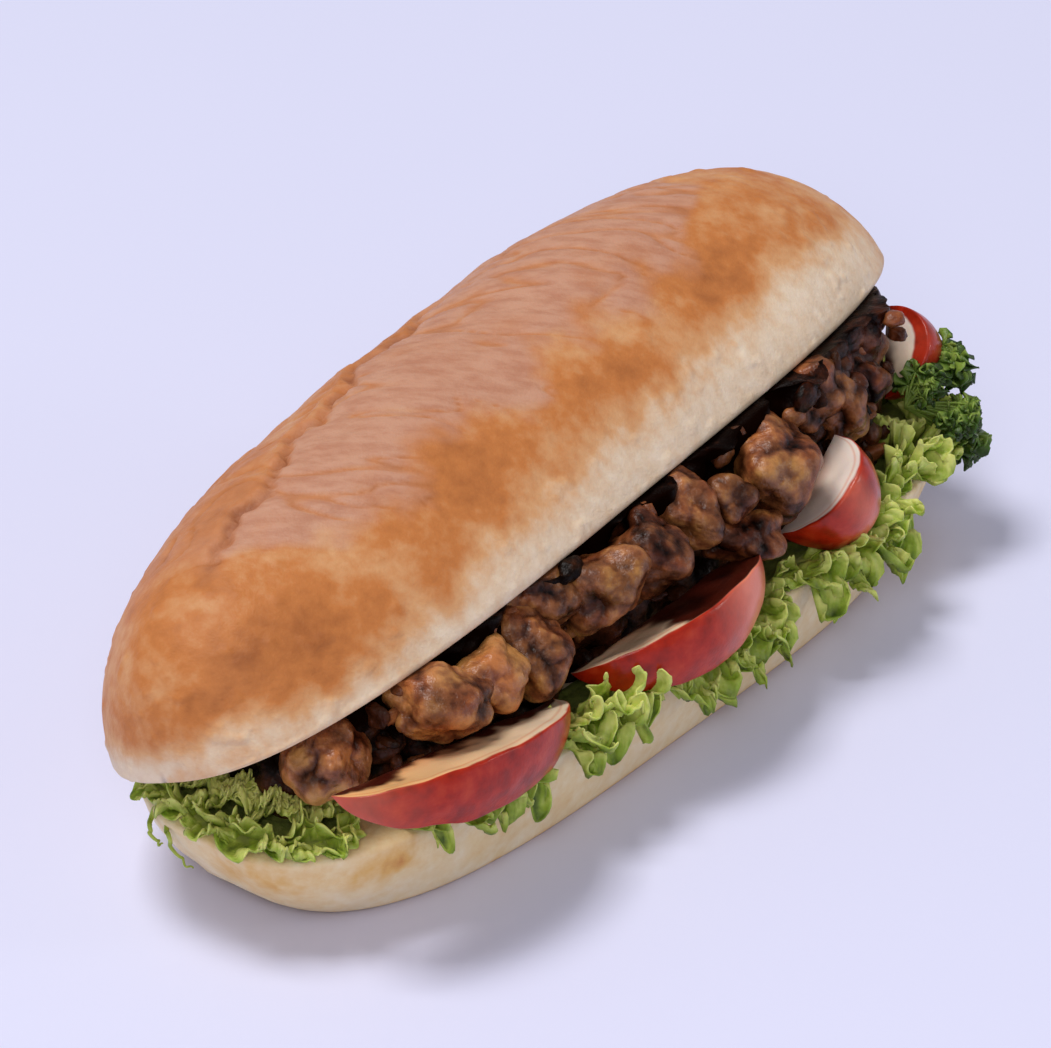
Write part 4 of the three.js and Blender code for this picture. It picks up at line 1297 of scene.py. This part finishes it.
class RollSettings(bpy.types.PropertyGroup):
    """Sizes and colours of the bread."""

    wrinkle_depth: number_property(
        "Wrinkles", "Height of the fine wrinkles on the flushed top", 0.00028, 0.001, "LENGTH"
    )
    blister_height: number_property(
        "Blisters", "Height of the small blisters on the browned sides", 0.00035, 0.001, "LENGTH"
    )
    crumb_colour: colour_property("Crumb", "Inside of the bread", "#f2dfc8")
    pale_colour: colour_property("Pale crust", "Crust that the oven heat hardly reached", "#e6cbad")
    heel_light_colour: colour_property("Heel light", "Palest crust of the heel", "#f6e6c8")
    heel_colour: colour_property("Heel", "Cream crust of the heel", "#eed4a6")
    heel_golden_colour: colour_property("Heel golden", "Golden patches of the heel", "#e2b36c")
    golden_colour: colour_property("Golden crust", "Lightly baked crust", "#d9a373")
    brown_colour: colour_property("Brown crust", "Well baked crust", "#c67b42")
    dark_colour: colour_property("Dark crust", "Crust in creases and at hot spots", "#94532a")
    flush_colour: colour_property("Flushed crust", "Matt pinkish tan top", "#c9967e")
    flush_dark_colour: colour_property("Flushed shade", "Darker spots of the top", "#b98169")


class TomatoSettings(bpy.types.PropertyGroup):
    """Colours of the tomato wedges."""

    skin_colour: colour_property("Skin", "Red skin", "#b0240a")
    skin_dark_colour: colour_property("Skin shade", "Darkest red of the skin", "#8a1805")
    skin_light_colour: colour_property("Skin light", "Lightest red of the skin", "#c43e1c")
    # The pink of the skin's painted sheen, which stands in for its broad highlights.
    skin_painted_sheen_colour: colour_property("Skin blush", "Pinkish part of the skin", "#ea8368")
    # The flesh colours are painted reflection of light on the wet cut faces; the dull one is
    # painted shade.
    warm_flesh_reflection_colour: colour_property("Warm flesh", "Orange cream flesh", "#f6c083")
    shaded_flesh_reflection_colour: colour_property("Dull flesh", "Duller flesh in the shade", "#ead3b6")
    cream_flesh_reflection_colour: colour_property("Cream flesh", "Palest flesh", "#f2d3b2")
    white_flesh_reflection_colour: colour_property("Whitish flesh", "Pinkish white flesh", "#f8e8de")
    # The pan juice's dark also serves as painted shade under the liver.
    juice_and_shade_colour: colour_property("Pan juice", "Dark juice of the liver on the flesh", "#40130a")


class LeafSettings(bpy.types.PropertyGroup):
    """Sizes and colours of the lettuce and the parsley."""

    lettuce_thickness: number_property(
        "Lettuce thickness", "Thickness of a lettuce leaf", 0.0006, 0.0015, "LENGTH", 0.0003
    )
    # The darkest greens are painted shade in the folds, the lightest partly painted highlight on
    # the ridges.
    lettuce_dark_colour: colour_property("Lettuce shade", "Green of the folds", "#435414")
    lettuce_colour: colour_property("Lettuce", "Green of the leaf", "#97aa39")
    lettuce_light_colour: colour_property("Lettuce light", "Green of the ridges", "#d8df7a")
    rib_colour: colour_property("Rib", "Pale green near the rib", "#b9bd78")
    parsley_dark_colour: colour_property("Parsley shade", "Darkest parsley green", "#2a3d12")
    parsley_colour: colour_property("Parsley", "Parsley green", "#4c6622")
    parsley_light_colour: colour_property("Parsley light", "Lightest parsley green", "#869c42")
    stalk_colour: colour_property("Stalk", "Green of the stalks", "#6c8438")


class LiverSettings(bpy.types.PropertyGroup):
    """Colours of the fried liver."""

    liver_light_colour: colour_property("Liver light", "Tan lumps", "#bd8049")
    liver_colour: colour_property("Liver", "Fried brown", "#864e2c")
    liver_brown_colour: colour_property("Liver brown", "Deep brown", "#4a2413")
    # The near black of the gaps between lumps is painted shade.
    liver_gap_shade_colour: colour_property("Liver dark", "Near black creases", "#0e0402")


class StageSettings(bpy.types.PropertyGroup):
    """Floor and light."""

    floor_colour: colour_property("Floor", "Plain pale floor", "#e1e2fd")
    air_strength: number_property(
        "Air light", "Strength of the even light from all round", 0.34, 5.0, "NONE"
    )
    key_power: number_property(
        "Key light", "Power of the large soft light behind and above", 60.0, 500.0, "POWER"
    )
    glint_power: number_property(
        "Glint light", "Power of the small light that the wet skins reflect", 2.2, 500.0, "POWER"
    )
    fill_power: number_property(
        "Fill light", "Power of the weak light from the camera's side", 3.0, 500.0, "POWER"
    )


# The lights: where each stands in metres, how wide it is, and its tint.
LIGHTS = {
    "key": ((-0.5, 0.8, 3.0), 1.0, (1.0, 0.99, 0.97)),
    "glint": ((0.85, -1.15, 0.38), 0.3, (1.0, 0.99, 0.98)),
    "fill": ((-0.9, -0.6, 0.8), 0.4, (1.0, 0.98, 0.96)),
}
LIGHT_AIM = Vector((0, 0, 0.03))
AIR_TINT = (0.93, 0.94, 1.0, 1.0)
FLOOR_HALF_WIDTH = 6.0


def add_aimed(name, data, spot, aim):
    """An object for a light or a camera that stands at spot and looks at aim, in metres."""
    thing = bpy.data.objects.new(name, data)
    thing.location = spot
    thing.rotation_euler = (aim - Vector(spot)).to_track_quat("-Z", "Y").to_euler()
    bpy.context.scene.collection.objects.link(thing)
    return thing


def add_square_light(name, power):
    """A square soft light of the list."""
    spot, size, tint = LIGHTS[name]
    data = bpy.data.lights.new(name, "AREA")
    data.size = size
    data.energy = power
    data.color = tint
    add_aimed(name, data, spot, LIGHT_AIM)


class SANDWICH_OT_stage(bpy.types.Operator):
    """Makes the floor, the lights and the camera"""

    bl_idname = "sandwich.stage"
    bl_label = "Stage"

    def execute(self, context):
        settings = context.scene.sandwich_stage
        material, tree, shader = new_material(
            "Plain matt paper floor", {"Roughness": 0.7, "Specular IOR Level": 0.2}
        )
        # smooth paper: one pale tint, which varies too little to draw the eye
        cloud = grain(tree, 400.0, 2.0)
        tint = settings.floor_colour
        stops = [(0.3, [c * 0.985 for c in tint]), (0.7, tint)]
        paper = add(tree, "ShaderNodeValToRGB", {"Fac": cloud}, stops=stops)
        tree.links.new(paper.outputs[0], shader.inputs["Base Color"])
        mesh = bpy.data.meshes.new("floor")
        half = FLOOR_HALF_WIDTH
        corners = [(-half, -half, 0), (half, -half, 0), (half, half, 0), (-half, half, 0)]
        mesh.from_pydata(corners, [], [(0, 1, 2, 3)])
        mesh.materials.append(material)
        floor = bpy.data.objects.new("floor", mesh)
        context.scene.collection.objects.link(floor)

        world = bpy.data.worlds.new("Soft studio")
        world.use_nodes = True
        background = world.node_tree.nodes["Background"]
        background.inputs["Color"].default_value = AIR_TINT
        background.inputs["Strength"].default_value = settings.air_strength
        context.scene.world = world
        context.scene.view_settings.view_transform = "Standard"
        add_square_light("key", settings.key_power)
        add_square_light("glint", settings.glint_power)
        add_square_light("fill", settings.fill_power)

        camera_data = bpy.data.cameras.new("camera")
        camera_data.lens = CAMERA_LENS
        camera_data.sensor_width = 36.0
        camera_data.clip_end = 20.0
        spot, aim = (
            Vector((np.array(place) + ORIGIN) * MM) for place in (CAMERA_SPOT, CAMERA_AIM)
        )
        context.scene.camera = add_aimed("camera", camera_data, spot, aim)
        return {"FINISHED"}


class SANDWICH_OT_roll(bpy.types.Operator):
    """Makes both halves of the roll"""

    bl_idname = "sandwich.roll"
    bl_label = "Roll"

    def execute(self, context):
        settings = context.scene.sandwich_roll
        colours = [settings.crumb_colour, settings.pale_colour, settings.golden_colour]
        top_crust = crust_material(settings, "Baked soft roll crust", 0.8, *colours)
        shape, values = roll_top_shape(settings)
        add_piece("crusty_top", shape, top_crust, ["roll_top"], values)
        shape, values = roll_bottom_shape()
        colours = [settings.heel_light_colour, settings.heel_colour, settings.heel_golden_colour]
        heel_crust = crust_material(settings, "Pale underbaked heel", 1.0, *colours)
        add_piece("pale_heel", shape, heel_crust, ["roll_bottom"], values)
        return {"FINISHED"}


class SANDWICH_OT_tomato(bpy.types.Operator):
    """Makes the four tomato wedges"""

    bl_idname = "sandwich.tomato"
    bl_label = "Tomato wedges"

    def execute(self, context):
        settings = context.scene.sandwich_tomato
        # each wedge's painted reflection on its cut face, from left to right
        flesh = [
            (settings.warm_flesh_reflection_colour, settings.shaded_flesh_reflection_colour),
            (settings.cream_flesh_reflection_colour, settings.cream_flesh_reflection_colour),
            (settings.white_flesh_reflection_colour, settings.white_flesh_reflection_colour),
            (settings.shaded_flesh_reflection_colour, settings.white_flesh_reflection_colour),
        ]
        for index, wedge in enumerate(WEDGES):
            number = index + 1
            material = tomato_material(settings, *flesh[index], f"Ripe tomato {number}")
            shape, values = wedge_shape(wedge, index)
            node = f"tomato_{number}"
            add_piece(f"wedge_{number}", shape, material, [node], values)
        return {"FINISHED"}


class SANDWICH_OT_liver(bpy.types.Operator):
    """Makes the fried liver pieces and the filling behind them"""

    bl_idname = "sandwich.liver"
    bl_label = "Liver"

    def execute(self, context):
        material = liver_material(context.scene.sandwich_liver)
        for index in range(len(CHUNKS)):
            shape, values = chunk_shape(index)
            node = f"liver_{index + 1:02d}"
            add_piece(f"fried_piece_{index + 1:02d}", shape, material, [node], values)
        shape, values = bed_shape()
        add_piece("filling", shape, material, ["liver_bed"], values)
        shape, values = bits_shape(BITS_COUNT)
        add_piece("fried_bits", shape, material, (), values)
        return {"FINISHED"}


class SANDWICH_OT_lettuce(bpy.types.Operator):
    """Makes the six curly lettuce leaves"""

    bl_idname = "sandwich.lettuce"
    bl_label = "Lettuce"

    def execute(self, context):
        settings = context.scene.sandwich_leaf
        colours = [
            settings.lettuce_dark_colour,
            settings.lettuce_colour,
            settings.lettuce_light_colour,
            settings.rib_colour,
        ]
        material = leaf_material("Fresh curly lettuce", colours, 1.2)
        for index, leaf in enumerate(leaf_list()):
            shape, values = leaf_shape(leaf, index, settings.lettuce_thickness / MM)
            node = f"lettuce_{index + 1}"
            add_piece(f"curly_leaf_{index + 1}", shape, material, [node], values)
        return {"FINISHED"}


class SANDWICH_OT_parsley(bpy.types.Operator):
    """Makes the sprig of parsley"""

    bl_idname = "sandwich.parsley"
    bl_label = "Parsley"

    def execute(self, context):
        settings = context.scene.sandwich_leaf
        colours = [
            settings.parsley_dark_colour,
            settings.parsley_colour,
            settings.parsley_light_colour,
            settings.stalk_colour,
        ]
        material = leaf_material("Fresh curly parsley", colours, 0.8)
        shape, values = parsley_shape()
        add_piece("parsley_sprig", shape, material, ["parsley"], values)
        return {"FINISHED"}


OPERATORS = [
    SANDWICH_OT_stage,
    SANDWICH_OT_roll,
    SANDWICH_OT_tomato,
    SANDWICH_OT_liver,
    SANDWICH_OT_lettuce,
    SANDWICH_OT_parsley,
]

SETTINGS = {
    "sandwich_roll": RollSettings,
    "sandwich_tomato": TomatoSettings,
    "sandwich_leaf": LeafSettings,
    "sandwich_liver": LiverSettings,
    "sandwich_stage": StageSettings,
}


class SANDWICH_PT_panel(bpy.types.Panel):
    """Lists the pieces, and the sizes and colours that they use"""

    bl_label = "Sandwich"
    bl_idname = "SANDWICH_PT_panel"
    bl_space_type = "VIEW_3D"
    bl_region_type = "UI"
    bl_category = "Sandwich"

    def draw(self, context):
        column = self.layout.column()
        for operator in OPERATORS:
            column.operator(operator.bl_idname)
        for name, group in SETTINGS.items():
            values = getattr(context.scene, name)
            for key in group.__annotations__:
                column.prop(values, key)


def register():
    for group in SETTINGS.values():
        bpy.utils.register_class(group)
    for name, group in SETTINGS.items():
        setattr(bpy.types.Scene, name, bpy.props.PointerProperty(type=group))
    for operator in OPERATORS:
        bpy.utils.register_class(operator)
    bpy.utils.register_class(SANDWICH_PT_panel)


def unregister():
    bpy.utils.unregister_class(SANDWICH_PT_panel)
    for operator in reversed(OPERATORS):
        bpy.utils.unregister_class(operator)
    for name in SETTINGS:
        delattr(bpy.types.Scene, name)
    for group in SETTINGS.values():
        bpy.utils.unregister_class(group)


def main():
    register()
    bpy.ops.sandwich.stage()
    bpy.ops.sandwich.roll()
    bpy.ops.sandwich.tomato()
    bpy.ops.sandwich.liver()
    bpy.ops.sandwich.lettuce()
    bpy.ops.sandwich.parsley()


if __name__ == "__main__":
    main()
